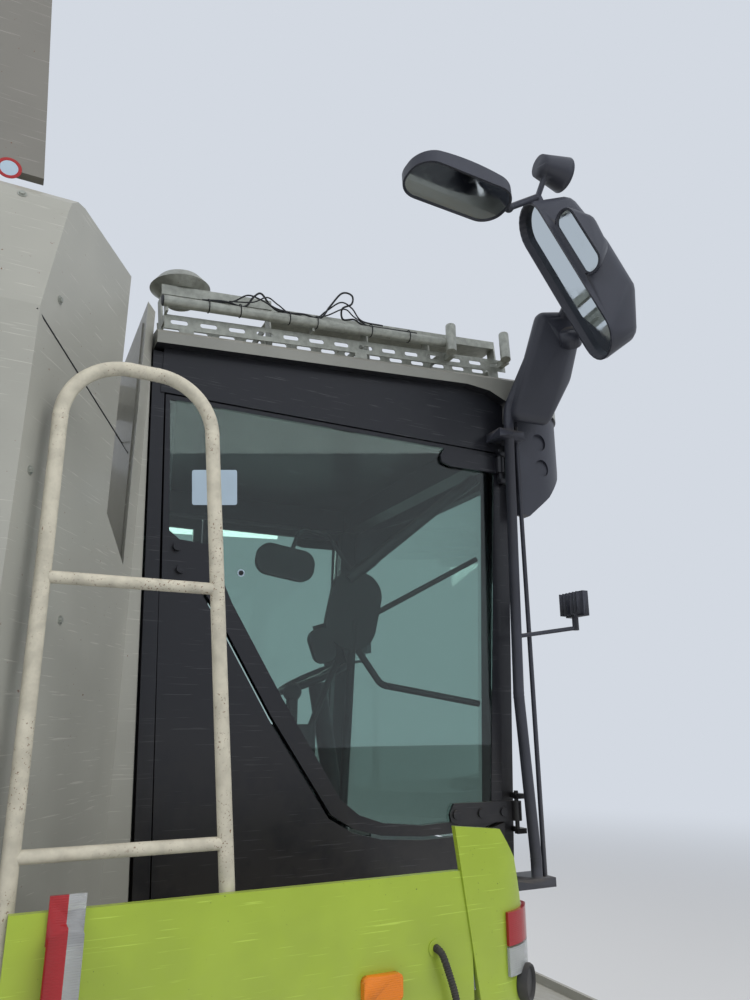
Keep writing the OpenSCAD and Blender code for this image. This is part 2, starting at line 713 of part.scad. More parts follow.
module straw_hood() color("#7da82f") {
  half = 1240;
  difference() {
    side_plate([
      [hood_rear_x - 20 - seat_gap, hood_floor_z + 2], [hood_rear_x - 20 - seat_gap, 3060], [-3600, 3000], [-4180, 2560],
      [-4380, 2200], [-4400, 1640], [-4330, hood_floor_z + 2]
    ], -half, half);
    side_plate([
      [hood_rear_x - 19, hood_floor_z], [hood_rear_x - 19, 2290], [-3600, 2290], [-4120, 2400],
      [-4330, 2190], [-4350, 1650], [-4300, hood_floor_z]
    ], -half + 40, half - 40);
    // Vent slots in the rear slope's sides
    for (i = [0 : 5])
      both_sides()
        block([-3500 - i * 95, -half - 5, 2620 - i * 25], [-3450 - i * 95, -half + 8, 2860 - i * 70]);
  }
}

module chopper() color("#3f4346") {
  difference() {
    side_plate([
      [rear_end_x + 760, hood_floor_z], [rear_end_x + 760, 1180], [rear_end_x + 650, 1010], [rear_end_x + 400, 950], [rear_end_x, 880],
      [rear_end_x, 925], [rear_end_x + 250, 1120], [rear_end_x + 260, hood_floor_z]
    ], -core_half, core_half);
    side_plate([
      [rear_end_x + 720, hood_floor_z + 1], [rear_end_x + 720, 1190], [rear_end_x + 620, 1060], [rear_end_x + 400, 1000], [rear_end_x + 300, 1000],
      [rear_end_x + 300, hood_floor_z + 1]
    ], -core_half + 30, core_half - 30);
    block([rear_end_x - 150, -core_half + 60, 905], [rear_end_x + 230, core_half - 60, 985]);
  }
  // Cheeks that carry the chopper on the body's rear wall
  both_sides()
    side_plate([
      [hood_rear_x - 20 - seat_gap, 1900], [hood_rear_x - 20 - seat_gap, 1500], [rear_end_x + 800, 1300], [rear_end_x + 650, 1300],
      [rear_end_x + 650, hood_floor_z - 1], [rear_end_x + 850, 1700]
    ], -core_half, -core_half + 30);
  drum(rear_end_x + 510, 1200, 90, -core_half + 29, core_half - 29);
  for (y = [-700 : 140 : 700], a = [0 : 90 : 270])
    translate([rear_end_x + 510, y, 1200])
      rotate([0, a + y / 140 * 30, 0])
        translate([80, -4, -25]) cube([60, 8, 50]);
  // Spreading vanes under the rear lip
  for (i = [-4 : 4])
    translate([rear_end_x + 220, i * 170, 912])
      rotate([0, 0, i * 4])
        translate([-190, -4, -90]) cube([230, 8, 96]);
}

// Fuel tank behind the left panel, with its filler
module fuel_tank() color("#2f3235") {
  translate([-2600, core_half + seat_gap + 165, 1500])
    linear_extrude(760) rounded_rect(1240, 330, 70);
  translate([-3120, core_half + 165, 2259]) cylinder(h = deck_z - 2259 - seat_gap, r = 60);
  for (x = [-3000, -2250])
    block([x - 30, core_half + seat_gap, 1485], [x + 30, core_half + 343, 1501]);
}

// Side panels

panel_hinge_z = 1985;
panel_hinge_y = body_half - 60;
panel_t = 40;
panel_hinge_x = [-500, -1700, -2900];
hinge_pin_r = 10;

// Two plates with a pin between them, hanging from top_z
module panel_hanger(x, top_z) {
  for (s = [-1, 1])
    block([x + s * 45 - 6, -panel_hinge_y - 18, panel_hinge_z - 18], [x + s * 45 + 6, -panel_hinge_y + 40, top_z]);
  translate([x - 45, -panel_hinge_y, panel_hinge_z]) rotate([0, 90, 0]) cylinder(h = 90, r = hinge_pin_r, $fn = 24);
}

module side_panel() {
  arch_r = 890;
  arch_x = rear_axle_x;
  outline = [
    [-170, panel_hinge_z - 30], [-170, 1330], [-330, 1010], [-1930, 1010],
    for (a = [20 : 14 : 132]) [arch_x + arch_r * cos(a), 700 + arch_r * sin(a)],
    [-3560, 1500], [-3560, 1960], [-3300, panel_hinge_z - 30]
  ];
  side_plate(outline, -body_half + 4, -body_half + 4 + panel_t);
  for (x = panel_hinge_x)
    difference() {
      union() {
        translate([x - 32, -panel_hinge_y, panel_hinge_z]) rotate([0, 90, 0]) cylinder(h = 64, r = 18, $fn = 32);
        block([x - 32, -body_half + 4 + panel_t - 1, panel_hinge_z - 90], [x + 32, -panel_hinge_y + 10, panel_hinge_z]);
      }
      translate([x - 40, -panel_hinge_y, panel_hinge_z]) rotate([0, 90, 0])
        cylinder(h = 80, r = hinge_pin_r + pin_gap, $fn = 24);
    }
}
module side_panel_right() color("#7fae2c") side_panel();
module side_panel_left() color("#7fae2c") mirror([0, 1, 0]) side_panel();

// Cab

cab_rear_x = 2045;
pillar_top_x = 3650;
pillar_foot_x = 3575;
screen_lean = atan((pillar_top_x - pillar_foot_x) / (cab_door_top_z - cab_floor_z));
cab_top_z = 3700;
roof_rise = 4.8;
bow_r = 2300;

module cab_frame() color("#24252b") {
  floor_t = 80;
  post = 60;
  // Floor, rear wall with its window, and the ring under the roof
  block([cab_rear_x, -cab_half, cab_floor_z - floor_t], [pillar_foot_x, cab_half, cab_floor_z]);
  translate([pillar_foot_x, 0, cab_floor_z - floor_t])
    linear_extrude(floor_t)
      polygon([[-1, -cab_half], [60, -cab_half + 10], [160, -480], [195, 0], [160, 480], [60, cab_half - 10],
           [-1, cab_half]]);
  difference() {
    block([cab_rear_x, -cab_half, cab_floor_z - 1], [cab_rear_x + 50, cab_half, cab_top_z]);
    block([cab_rear_x - 5, -560, 2750], [cab_rear_x + 55, 560, 3380]);
  }
  difference() {
    block([cab_rear_x, -cab_half, cab_door_top_z - 1], [pillar_top_x + 70, cab_half, cab_top_z]);
    block([cab_rear_x + 50, -cab_half + post, cab_door_top_z - 30],
       [pillar_top_x - 40, cab_half - post, cab_top_z - 40]);
  }
  // Leaning front posts and upright rear posts
  both_sides() {
    side_plate([
      [pillar_foot_x - 50, cab_floor_z - 1], [pillar_foot_x + 70, cab_floor_z - 1],
      [pillar_top_x + 70, cab_door_top_z], [pillar_top_x - 50, cab_door_top_z]
    ], -cab_half, -cab_half + post);
    side_plate([
      [cab_rear_x, cab_floor_z - 1], [cab_rear_x + 110, cab_floor_z - 1],
      [cab_rear_x + 70, cab_door_top_z], [cab_rear_x, cab_door_top_z]
    ], -cab_half, -cab_half + post);
  }
  cab_sides();
  // Black cover strips over the rear posts, beside the doors
  both_sides()
    side_plate([
      [2096, 1706], [2151, 1706], [2102, 2700], [2060, 3516], [2045, 3690], [2005, 3690]
    ], -door_y - door_t, -cab_half + 1);
  // Black band under the roof's lip
  both_sides()
    side_plate([
      [2045, 3519], [3652, 3519], [3664, roof_lip_z + 67], [3560, roof_lip_z + 112 - seat_gap],
      [3436, roof_lip_z + 122 - seat_gap], [2664, roof_lip_z + 57 - seat_gap], [2045, roof_lip_z + 4.5]
    ], -door_y - door_t - 5, -cab_half + 60);
}

module cab_glass() color([0.55, 0.75, 0.72, 0.4]) {
  // Curved pane between the leaning front posts
  translate([pillar_foot_x, 0, cab_floor_z])
    rotate([0, screen_lean, 0])
      intersection() {
        translate([-bow_r + 210, 0, 4])
          difference() {
            cylinder(h = cab_door_top_z - cab_floor_z, r = bow_r, $fn = 360);
            translate([0, 0, -1])
              cylinder(h = cab_door_top_z, r = bow_r - glass_t, $fn = 360);
          }
        block([12, -cab_half + 60 + seat_gap, 12], [400, cab_half - 60 - seat_gap, cab_door_top_z - cab_floor_z - 3]);
      }
  // Rear window and the quarter window on the left
  block([cab_rear_x + 20, -560 + seat_gap, 2750 + seat_gap], [cab_rear_x + 26, 560 - seat_gap, 3380 - seat_gap]);
  mirror([0, 1, 0])
    side_plate(shrink(quarter_window, [2400, 3000]), -door_y - door_t + 4, -door_y - door_t + 4 + glass_t);
}

// Outlines in X and Z: clear glass and swinging frame of the right window, fixed panel below it
window_outline = [
  [2084, 3496], [2120, 2975], [2160, 2945], [2268, 2937], [2372, 2722], [2588, 2371], [2829, 2011],
  [2905, 1954], [3007, 1920], [3180, 1902], [3420, 1912], [3508, 1950], [3605, 3496]
];
pane_outline = [
  [2066, 3514], [2097, 2960], [2107, 2790], [2250, 2780], [2330, 2660], [2545, 2310], [2790, 1960],
  [2885, 1905], [3000, 1876], [3180, 1862], [3430, 1868], [3560, 1905], [3634, 3514]
];
panel_outline = [
  [2156, 1706], [2100, 2775], [2244, 2766], [2320, 2648], [2535, 2298], [2780, 1948], [2880, 1892],
  [3000, 1863], [3180, 1849], [3434, 1855], [3572, 1893], [3564, 1706]
];
// Left door, its window, the fixed panel behind it and that panel's window
door_outline = [[2700, 1725], [2672, 3514], [3634, 3514], [3562, 1725]];
door_window = [[2745, 2060], [2725, 3470], [3596, 3470], [3530, 1900], [2960, 1860]];
quarter_outline = [[2156, 1706], [2062, 3514], [2664, 3514], [2692, 1706]];
quarter_window = [[2190, 2650], [2155, 3450], [2615, 3450], [2630, 2400]];
door_y = cab_half + 15;
door_hinge_x = 3622;
door_hinge_y = door_y + door_t + 18;
door_pin_r = 9;

function shrink(outline, c) = [
  for (p = outline)
    let (v = p - c, d = norm(v)) c + v * ((d - seat_gap * 2) / d)
];

// Two arms on the frame that reach forward to the pivot
module door_arms(heights) {
  for (z = heights)
    difference() {
      union() {
        side_plate([
          [3300, z + 12], [3320, z + 52], [door_hinge_x, z + 50], [door_hinge_x, z - 26],
          [3350, z - 30], [3306, z - 16]
        ], -door_y - door_t - 12, -door_y - door_t + 1);
        translate([door_hinge_x, -door_hinge_y, z - 26]) cylinder(h = 76, r = 20, $fn = 32);
        block([door_hinge_x - 20, -door_hinge_y, z - 26], [door_hinge_x + 10, -door_y - door_t, z + 50]);
      }
      translate([door_hinge_x, -door_hinge_y, z - 40]) cylinder(h = 110, r = door_pin_r + pin_gap, $fn = 32);
    }
}

window_arm_z = [1925, 3440];
module window_right() color("#25262c") {
  difference() {
    side_plate(pane_outline, -door_y - door_t, -door_y);
    side_plate(window_outline, -door_y - door_t - 1, -door_y + 1);
  }
  door_arms(window_arm_z);
  for (x = [3330, 3450, 3560])
    drum(x, window_arm_z[0] + 10, 17, -door_y - door_t - 20, -door_y - door_t - 11, 24);
  // Latch knobs on the rear lobe
  for (p = [[2152, 2915], [2170, 2832]])
    drum(p[0], p[1], 16, -door_y - door_t - 18, -door_y - door_t + 1, 24);
}
module window_glass_right() color([0.5, 0.72, 0.68, 0.4])
  side_plate(shrink(window_outline, [2950, 3050]), -door_y - door_t + 4, -door_y - door_t + 4 + glass_t);

module door_left() color("#25262c")
  mirror([0, 1, 0]) {
    difference() {
      side_plate(door_outline, -door_y - door_t, -door_y);
      side_plate(door_window, -door_y - door_t - 1, -door_y + 1);
    }
    door_arms(window_arm_z);
    // Pull handle
    block([2712, -door_y - door_t - 40, 2080], [2736, -door_y - door_t - 28, 2300]);
    for (z = [2080, 2280])
      block([2712, -door_y - door_t - 40, z], [2736, -door_y - door_t + 1, z + 20]);
  }
module door_glass_left() color([0.5, 0.72, 0.68, 0.4])
  mirror([0, 1, 0])
    side_plate(shrink(door_window, [3150, 2700]), -door_y - door_t + 4, -door_y - door_t + 4 + glass_t);

// Fixed side panels of the cab, with the pins that the door and the window turn on
module cab_sides() {
  side_plate(panel_outline, -door_y - door_t, -door_y);
  mirror([0, 1, 0])
    difference() {
      side_plate(quarter_outline, -door_y - door_t, -door_y);
      side_plate(quarter_window, -door_y - door_t - 1, -door_y + 1);
    }
  both_sides() {
    block([2157, -door_y - 1, 1706], [3560, -cab_half + 1, 1719]);
    for (z = window_arm_z) {
      translate([door_hinge_x, -door_hinge_y, z - 70]) cylinder(h = 160, r = door_pin_r, $fn = 32);
      for (e = [z - 76, z + 58]) {
        block([door_hinge_x - 9.2, -door_hinge_y - 14, e], [door_hinge_x + 36, -door_hinge_y + 9.1, e + 20]);
        block([door_hinge_x + 20, -door_hinge_y - 14, e], [door_hinge_x + 36, -cab_half + 30, e + 20]);
      }
    }
  }
}

module cab_seat() color("#33353a") {
  translate([2480, 0, cab_floor_z + seat_gap]) {
    translate([0, 0, 0]) linear_extrude(60) rounded_rect(420, 420, 60);
    translate([0, 0, 60]) cylinder(h = 280, r = 150);
    translate([20, 0, 340]) linear_extrude(140) rounded_rect(520, 520, 110);
    translate([-225, 0, 400]) rotate([0, -8, 0]) rotate([0, 0, 90]) linear_extrude(640) rounded_rect(490, 120, 55);
    translate([-330, 0, 1060]) linear_extrude(190) rounded_rect(90, 280, 40);
    translate([-318, 0, 980]) cylinder(h = 120, r = 30);
  }
}

module cab_controls() color("#2d2f33") {
  z = cab_floor_z + seat_gap;
  // Steering column, wheel, right console with its lever and screen
  translate([3240, 0, z]) {
    linear_extrude(40) rounded_rect(260, 240, 40);
    tube([0, 0, 30], [-140, 0, 760], 90);
    translate([-155, 0, 790]) rotate([0, -24, 0]) {
      rotate_extrude($fn = 64) translate([185, 0]) circle(16, $fn = 16);
      translate([0, 0, -30]) cylinder(h = 36, r = 50);
      for (a = [30, 150, 270])
        rotate([0, 0, a]) translate([30, -14, -10]) cube([150, 28, 14]);
    }
  }
  translate([2640, -400, z]) {
    linear_extrude(560) rounded_rect(560, 150, 40);
    translate([180, 0, 560]) cylinder(h = 120, r = 26);
    translate([180, 0, 700]) sphere(r = 42);
    tube([250, 0, 500], [400, 0, 850], 30);
    translate([400, 0, 840]) rotate([0, -20, 0]) translate([-14, -130, -10]) cube([28, 260, 200]);
  }
  // Pole by the right window with two screens, an inner mirror and its arms, then a grab rail
  y = -812;
  translate([2880, y, z]) cylinder(h = 20, r = 50);
  tube([2880, y, z + 10], [2930, y, 2700], 34);
  tube([3560, y, 3413], [2900, y, 2870], 50);
  tube([3560, y, 3020], [3025, y, 2731], 24);
  tube([2920, y, 2650], [2790, y, 2590], 20);
  bent_tube([[2640, y, 2950], [2680, y, 3070], [2800, y, 3060], [2930, y, 2900]], 18, 45);
  // Plates as [x, z, lean, width, height, corner]
  for (p = [[2930, 2745, 12, 230, 330, 100], [2790, 2590, -20, 100, 140, 40], [2620, 2920, 8, 250, 130, 55]])
    translate([p[0], y, p[1]]) rotate([90, p[2], 0])
      translate([0, 0, -14]) linear_extrude(28) rounded_rect(p[3], p[4], p[5]);
  bent_tube([[2935, y, 2600], [3060, y, 2440], [3545, y, 2368]], 28, 60);
}

// Roof shell: an arched side outline and a plan with round corners
roof_rear_x = 2008;
roof_front_x = 4080;
roof_lip_z = 3700;
visor_top_z = roof_lip_z + 60;
roof_outline = [
  [roof_rear_x, roof_lip_z + 2], [2664, roof_lip_z + 57], [3436, roof_lip_z + 122], [3560, roof_lip_z + 112],
  [3652, roof_lip_z + 75], [3720, visor_top_z], [roof_front_x, visor_top_z], [4040, roof_lip_z + 190],
  [3960, roof_lip_z + 262], [3800, roof_lip_z + 315], [3300, roof_lip_z + 345], [2060, roof_lip_z + 260],
  [roof_rear_x, roof_lip_z + 150]
];
// Cross outline of the crown, as [distance from the middle, height over the lip]
roof_crown = [[roof_half, 48], [roof_half - 35, 74], [roof_half - 125, 92], [600, 148], [250, 172], [0, 178]];

module roof_plan(half) {
  corner = 240;
  hull_x0 = roof_rear_x;
  translate([hull_x0, -half]) square([roof_front_x - corner - hull_x0, 2 * half]);
  translate([hull_x0, -half + corner]) square([roof_front_x - hull_x0, 2 * half - 2 * corner]);
  for (s = [-1, 1])
    translate([roof_front_x - corner, s * (half - corner)]) circle(corner, $fn = 48);
}

module cab_roof() color("#c4c6bd")
  intersection() {
    side_plate(roof_outline, -roof_half - 10, roof_half + 10);
    translate([0, 0, roof_lip_z]) linear_extrude(600) roof_plan(roof_half);
    translate([roof_rear_x, 0, roof_lip_z])
      rotate([0, -roof_rise, 0])
        cross_plate(concat(
          [[roof_half, -600], for (p = roof_crown) [p[0], p[1]]],
          [for (i = [len(roof_crown) - 2 : -1 : 0]) [-roof_crown[i][0], roof_crown[i][1]]],
          [[-roof_half, -600]]), -60, 2300);
  }

// Dark visor under the roof's front: lamp bar across, cheeks down beside the windscreen
module roof_visor() color("#2a2b33")
  difference() {
    intersection() {
      side_plate([
        [3724, visor_top_z - seat_gap], [3724, 3225], [3768, 3218], [3900, 3330], [4000, 3450],
        [4060, 3590], [roof_front_x, visor_top_z - seat_gap]
      ], -roof_half, roof_half);
      translate([0, 0, 3100]) linear_extrude(800) roof_plan(roof_half - 15);
    }
    translate([0, 0, 3100]) linear_extrude(800) {
      translate([3600, -925]) square([240, 1850]);
      translate([3600, -775]) square([390, 1550]);
      for (s = [-1, 1]) translate([3840, s * 775]) circle(150);
    }
    cross_plate([
      [-920, 3100], [-900, 3380], [-790, 3520], [-520, 3570], [520, 3570], [790, 3520], [900, 3380], [920, 3100]
    ], 3650, 4200);
    // Pockets for the work lamps, on the front and in the cheeks
    for (y = lamp_row)
      translate([roof_front_x - 62, y, visor_lamp_z]) rotate([0, 90, 0]) cylinder(h = 80, r = 72);
    both_sides()
      for (p = [[3850, 3600], [3860, 3470]])
        drum(p[0], p[1], 42, -roof_half, -roof_half + 30);
  }
visor_lamp_z = roof_lip_z - 24;
lamp_row = [-720, -480, -240, 240, 480, 720];

// Rack along the roof's right edge, with slotted rails, tubes and a receiver dome
rack_y = -860;
rack_x0 = 2050;
rack_x1 = 3760;
rack_tilt = -5.6;

module slotted_rail(length, h, t, slots, slot_h) {
  pitch = length / slots;
  rotate([90, 0, 0])
    linear_extrude(t)
      difference() {
        square([length, h]);
        for (i = [0 : slots - 1])
          translate([pitch * (i + 0.5), h / 2]) {
            square([pitch * 0.42, slot_h], center = true);
            for (s = [-1, 1]) translate([s * pitch * 0.21, 0]) circle(slot_h / 2, $fn = 16);
          }
      }
}

module at_rack() translate([rack_x0, rack_y, roof_lip_z + 134]) rotate([0, rack_tilt, 0]) children();

module antenna_rack() color("#a3a69f")
  at_rack() {
      length = rack_x1 - rack_x0;
      slotted_rail(length, 62, 4, 14, 20);
      translate([0, 150, 34]) slotted_rail(length, 62, 4, 14, 20);
      translate([0, 300, 54]) slotted_rail(length, 62, 4, 14, 20);
      for (x = [0, 420, 900, 1330, length - 8])
        translate([x, -4, 34]) cube([8, 310, 30]);
      // Feet on the roof: place along the rack and length of the right and the left foot
      for (f = [[60, 38], [860, 48], [1600, 56]])
        translate([f[0], -4, -f[1]]) cube([60, 6, f[1] + 12]);
      // Upper flat bars
      translate([0, 30, 172]) cube([480, 90, 6]);
      translate([0, 30, 172]) cube([480, 6, 45]);
      translate([480, 60, 158]) cube([length - 480, 120, 6]);
      translate([480, 60, 158]) cube([length - 480, 6, 40]);
      for (x = [0, 476, 960, 1300, length - 8])
        translate([x, 60, 0]) cube([8, 60, 176]);
      // Long tube and short cross tubes with their ends towards the side
      tube([-10, -40, 102], [1360, -40, 96], 46);
      for (x = [0, 640])
        translate([x, -40, 60]) cube([10, 40, 50]);
      for (x = [1340, 1660])
        tube([x, -80, 30], [x + 40, -40, 190], 50);
      for (x = [1345, 1665])
        translate([x, -60, 20]) cube([30, 62, 30]);
      // Receiver dome on its bracket
      translate([95, 110, 177]) {
        cylinder(h = 40, r = 60);
        translate([0, 0, 40]) cylinder(h = 34, r1 = 90, r2 = 128);
        translate([0, 0, 74]) cylinder(h = 44, r1 = 128, r2 = 90);
      }
    }

// Mirrors

mirror_c = [3648, -1450, 4172];
mirror_turn = [-5, -23, -20];
mirror_w = 240;
mirror_h = 820;
wide_c = [46, -166, 65];
kerb_c = [3110, -1450, 4440];
post_x = 3636;
post_y = -1020;

// Plate with rounded ends, its face along -X, width along Y and height along Z
module face_plate(w, h, r, t) {
  rotate([90, 0, 90]) linear_extrude(t) rounded_rect(w, h, r);
}

// Places a child at the big mirror, at the wide angle mirror on its outer side, and at the kerb mirror
module at_mirror() translate(mirror_c) rotate(mirror_turn) children();
module at_wide_mirror() at_mirror() translate(wide_c) rotate([0, 0, 22]) children();
module at_kerb_mirror() translate(kerb_c) rotate([-5, 0, 2]) children();

// Housing that bulges behind its face: face size, rim, then balls as [x, y, z, radius]
module mirror_housing(w, h, r, depth, balls) {
  difference() {
    hull() {
      face_plate(w, h, r, 14);
      for (b = balls)
        translate([b[0], b[1], b[2]]) sphere(r = b[3], $fn = 20);
    }
    translate([-1, 0, 0]) face_plate(w - 22, h - 22, r - 11, depth + 1);
  }
}

module mirror_arm() {
  // Bent tube from the cab's lower corner up the front post and out to the mirrors
  bent_tube([
    [3664, -1010, 1680], [3664, -1010, 1760], [3612, post_y, 2400], [post_x, post_y, 3720], [3725, -1215, 4100]
  ], 46, 160);
  tube([3712, -1000, 1680], [3690, -1000, 3640], 20);
  block([3560, post_y - 30, 3560], [3700, -door_y - door_t - 5 - seat_gap, 3600]);
  block([3540, -1040, 1656], [3735, -cab_half - seat_gap, 1690]);
  // Finned work lamp on a bracket at the post
  tube([post_x, post_y, 2650], [3890, -1090, 2690], 18);
  translate([3890, -1090, 2680]) {
    cylinder(h = 70, r = 14);
    translate([0, -60, 60]) cube([30, 120, 110]);
    for (i = [0 : 5]) translate([-34, -58 + i * 22, 66]) cube([35, 6, 98]);
  }
  // Folding bracket's cover between the tube and the mirrors
  hull()
    for (p = [[3670, -1050, 3690, 40], [3800, -1070, 3690, 42], [3890, -1110, 3900, 52], [3735, -1200, 4110, 48],
         [3870, -1230, 4120, 58]])
      translate([p[0], p[1], p[2]]) sphere(r = p[3], $fn = 16);
  tube([3820, -1210, 4110], [3790, -1400, 4210], 60);
  // Round lamp on the cover, with its own bezel
  translate([3830, -1270, 3990]) rotate([62, 0, -40]) cylinder(h = 60, r = 50, $fn = 32);
  at_mirror()
    mirror_housing(mirror_w, mirror_h, 112, 40, [
      [150, 38, 300, 74], [150, -38, 300, 74], [175, 38, 60, 78], [175, -38, 60, 78],
      [170, 38, -160, 78], [170, -38, -160, 78], [112, 0, -310, 74]
    ]);
  at_wide_mirror()
    mirror_housing(112, 330, 54, 13, [[72, -8, 60, 62], [66, -8, -50, 56]]);
  // Bar at the top with the kerb mirror's ball joint, and the work lamp on a stub
  tube([3600, -1440, 4480], clamp_c, 34);
  tube(clamp_c, kerb_c + [272, 12, 28], 30);
  at_kerb_mirror() translate([250 + 22 + seat_gap, 0, 28]) rotate([37, 0, 115]) sphere(r = 22, $fn = 20);
  at_kerb_mirror()
    difference() {
      intersection() {
        linear_extrude(84) rounded_rect(500, 220, 96);
        translate([0, 0, -828]) rotate([90, 0, 0]) sphere(r = 910, $fn = 96);
      }
      translate([0, 0, -1]) linear_extrude(11) rounded_rect(480, 200, 86);
    }
  tube(clamp_c, clamp_c + [60, -10, 165], 26);
  translate(clamp_c + [12, -10, 165]) rotate([0, 90, 0]) cylinder(h = 140, r1 = 52, r2 = 80, $fn = 32);
}
clamp_c = [3530, -1460, 4560];

module mirrors() color("#3b3d44") both_sides() mirror_arm();

module mirror_glass() color("#aeb9bf")
  both_sides() {
    at_mirror() translate([31, 0, 0]) face_plate(mirror_w - 24, mirror_h - 24, 100, 8);
    at_wide_mirror() translate([7, 0, 0]) face_plate(88, 306, 42, 5);
    at_kerb_mirror() translate([0, 0, 4]) linear_extrude(5) rounded_rect(478, 198, 85);
  }

// Platforms, handrails and skirts

platform_x0 = 1700;
platform_x1 = 3060;
pod_x0 = 2890;
ladder_x0 = 2330;
ladder_x1 = 2830;
ladder_pin_r = 14;

module platforms() color("#55595b") {
  t = 45;
  inner = cab_half + 25;
  // Right platform
  block([platform_x0, -body_half + 20 + seat_gap, platform_z - t], [platform_x1, -inner, platform_z]);
  // Left platform with a bay for the ladder
  block([platform_x0, inner, platform_z - t], [platform_x1, 1290, platform_z]);
  block([platform_x0, 1289, platform_z - t], [ladder_x0 - 30, body_half - 20 - seat_gap, platform_z]);
  block([ladder_x1 + 30, 1289, platform_z - t], [platform_x1, body_half - 20 - seat_gap, platform_z]);
  both_sides() {
    block([2890, -1290, platform_z - t - 60], [2950, -890, platform_z - t + 1]);
    block([2890, -900, platform_z - t - 70], [2950, -860 - seat_gap, platform_z - t - 20]);
  }
  for (x = [ladder_x0 - 31, ladder_x1 + 1])
    translate([x, 1440, 1675]) rotate([0, 90, 0]) cylinder(h = 30, r = ladder_pin_r, $fn = 32);
  // Brackets from the body's front
  both_sides()
    for (x = [platform_x0 + 60, 1880])
      side_plate([
        [x, platform_z - t], [x + 40, platform_z - t], [x + 40, platform_z - t - 130], [x, platform_z - t - 130]
      ], -body_half + 60, -core_half - seat_gap);
}

// Right and left handrails, as loops of tube on the platforms
module u_rail(x0, x1, top_x0, top_x1, y, z1) {
  for (x = [x0, x1])
    translate([x, y, platform_z + seat_gap]) cylinder(h = 30, d = rail_d + 6, $fn = 24);
  bent_tube([[x0, y, platform_z + 10], [top_x0, y, z1], [top_x1, y, z1], [x1, y, platform_z + 10]], rail_d, 175);
}

module handrails() color("#d4d1c2") {
  rail_y = -body_half + 45;
  mirror([0, 1, 0]) u_rail(1696, 2236, 1676, 2090, -rail_y, 3288);
  for (r = [[1682, 2140, 2660], [1692, 2206, 1985]])
    tube([r[0], rail_y, r[2]], [r[1], rail_y, r[2]], 34);
  // Left side: a loop behind the ladder
  mirror([0, 1, 0]) {
    u_rail(1720, ladder_x0 - 50, 1715, ladder_x0 - 55, rail_y, 2750);
    tube([1712, rail_y, 2250], [ladder_x0 - 52, rail_y, 2250], 34);
  }
  // Engine deck rails at the rear left
  z = deck_z + deck_t;
  bent_tube([
    [-3150, 1500, z + seat_gap], [-3150, 1500, z + 560], [-3150, 1100, z + 560], [-3150, 1100, z + seat_gap]
  ], 34, 90);
  // Rear ladder
  for (y = [700, 1060])
    bent_tube([[-4455, y, 1500], [-4455, y, 2300], [-4240, y, 2640], [-3700, y, 3060]], 30, 200);
  for (z = [1560, 1800, 2040, 2280])
    tube([-4455, 700, z], [-4455, 1060, z], 26);
  for (y = [700, 1060], b = [[1640, -4400.3], [2120, -4383.4]])
    block([-4455, y - 8, b[0]], [b[1], y + 8, b[0] + 16]);
}

module side_skirts() color("#9cc131") {
  t = 20;
  // Side plates, whole on the right and stopped at the ladder on the left
  difference() {
    union() {
      side_plate([
        [platform_x0, skirt_top_z], [platform_x0, skirt_bottom_z + 120], [platform_x0 + 90, skirt_bottom_z],
        [pod_x0 + 60, skirt_bottom_z], [pod_x0 + 60, skirt_top_z]
      ], -body_half, -body_half + t);
      drum(conduit[0], conduit[1], 24, -body_half - 3, -body_half + 1);
    }
    drum(conduit[0], conduit[1], conduit_r + seat_gap, -body_half - 5, -body_half + t + 1);
  }
  side_plate([
    [platform_x0, skirt_top_z], [platform_x0, skirt_bottom_z + 120], [platform_x0 + 90, skirt_bottom_z],
    [ladder_x0 - 40, skirt_bottom_z], [ladder_x0 - 40, skirt_top_z]
  ], body_half - t, body_half);
  block([ladder_x1 + 50, body_half - t, skirt_bottom_z], [pod_x0 + 60, body_half, platform_z - 5]);
  block([platform_x0, -body_half + t - 1, skirt_top_z - 30], [pod_x0 + 60, -body_half + t + 3, skirt_top_z]);
  // Corner pods: the left one ends below the door's path
  corner_pod(skirt_top_z + 130);
  mirror([0, 1, 0]) corner_pod(platform_z - 5);
}

// Hose through the right skirt's grommet, and the cable that winds over the rack's tube
conduit = [2826, 1676];
conduit_r = 11;
function on_rack_tube(x, up = 0) = [x, -40, 129.9 - (x + 10) * 6 / 1370 + up];
module wiring() color("#1d1e21") {
  y = -body_half - 32;
  bent_tube([
    [conduit[0], -body_half + 19, conduit[1]], [conduit[0], y, conduit[1]], [2872, y, 1540], [2884, y, 1400],
    [2884, -body_half + 20, 1380]
  ], 2 * conduit_r, 22);
  cable = [[150, 0], [330, 0], [410, 75], [500, 0], [700, 0], [800, 120], [900, 0], [1180, 0]];
  at_rack()
    for (i = [0 : 6])
      hull()
        for (j = [i, i + 1])
          translate(on_rack_tube(cable[j][0], cable[j][1])) sphere(d = 9, $fn = 10);
}

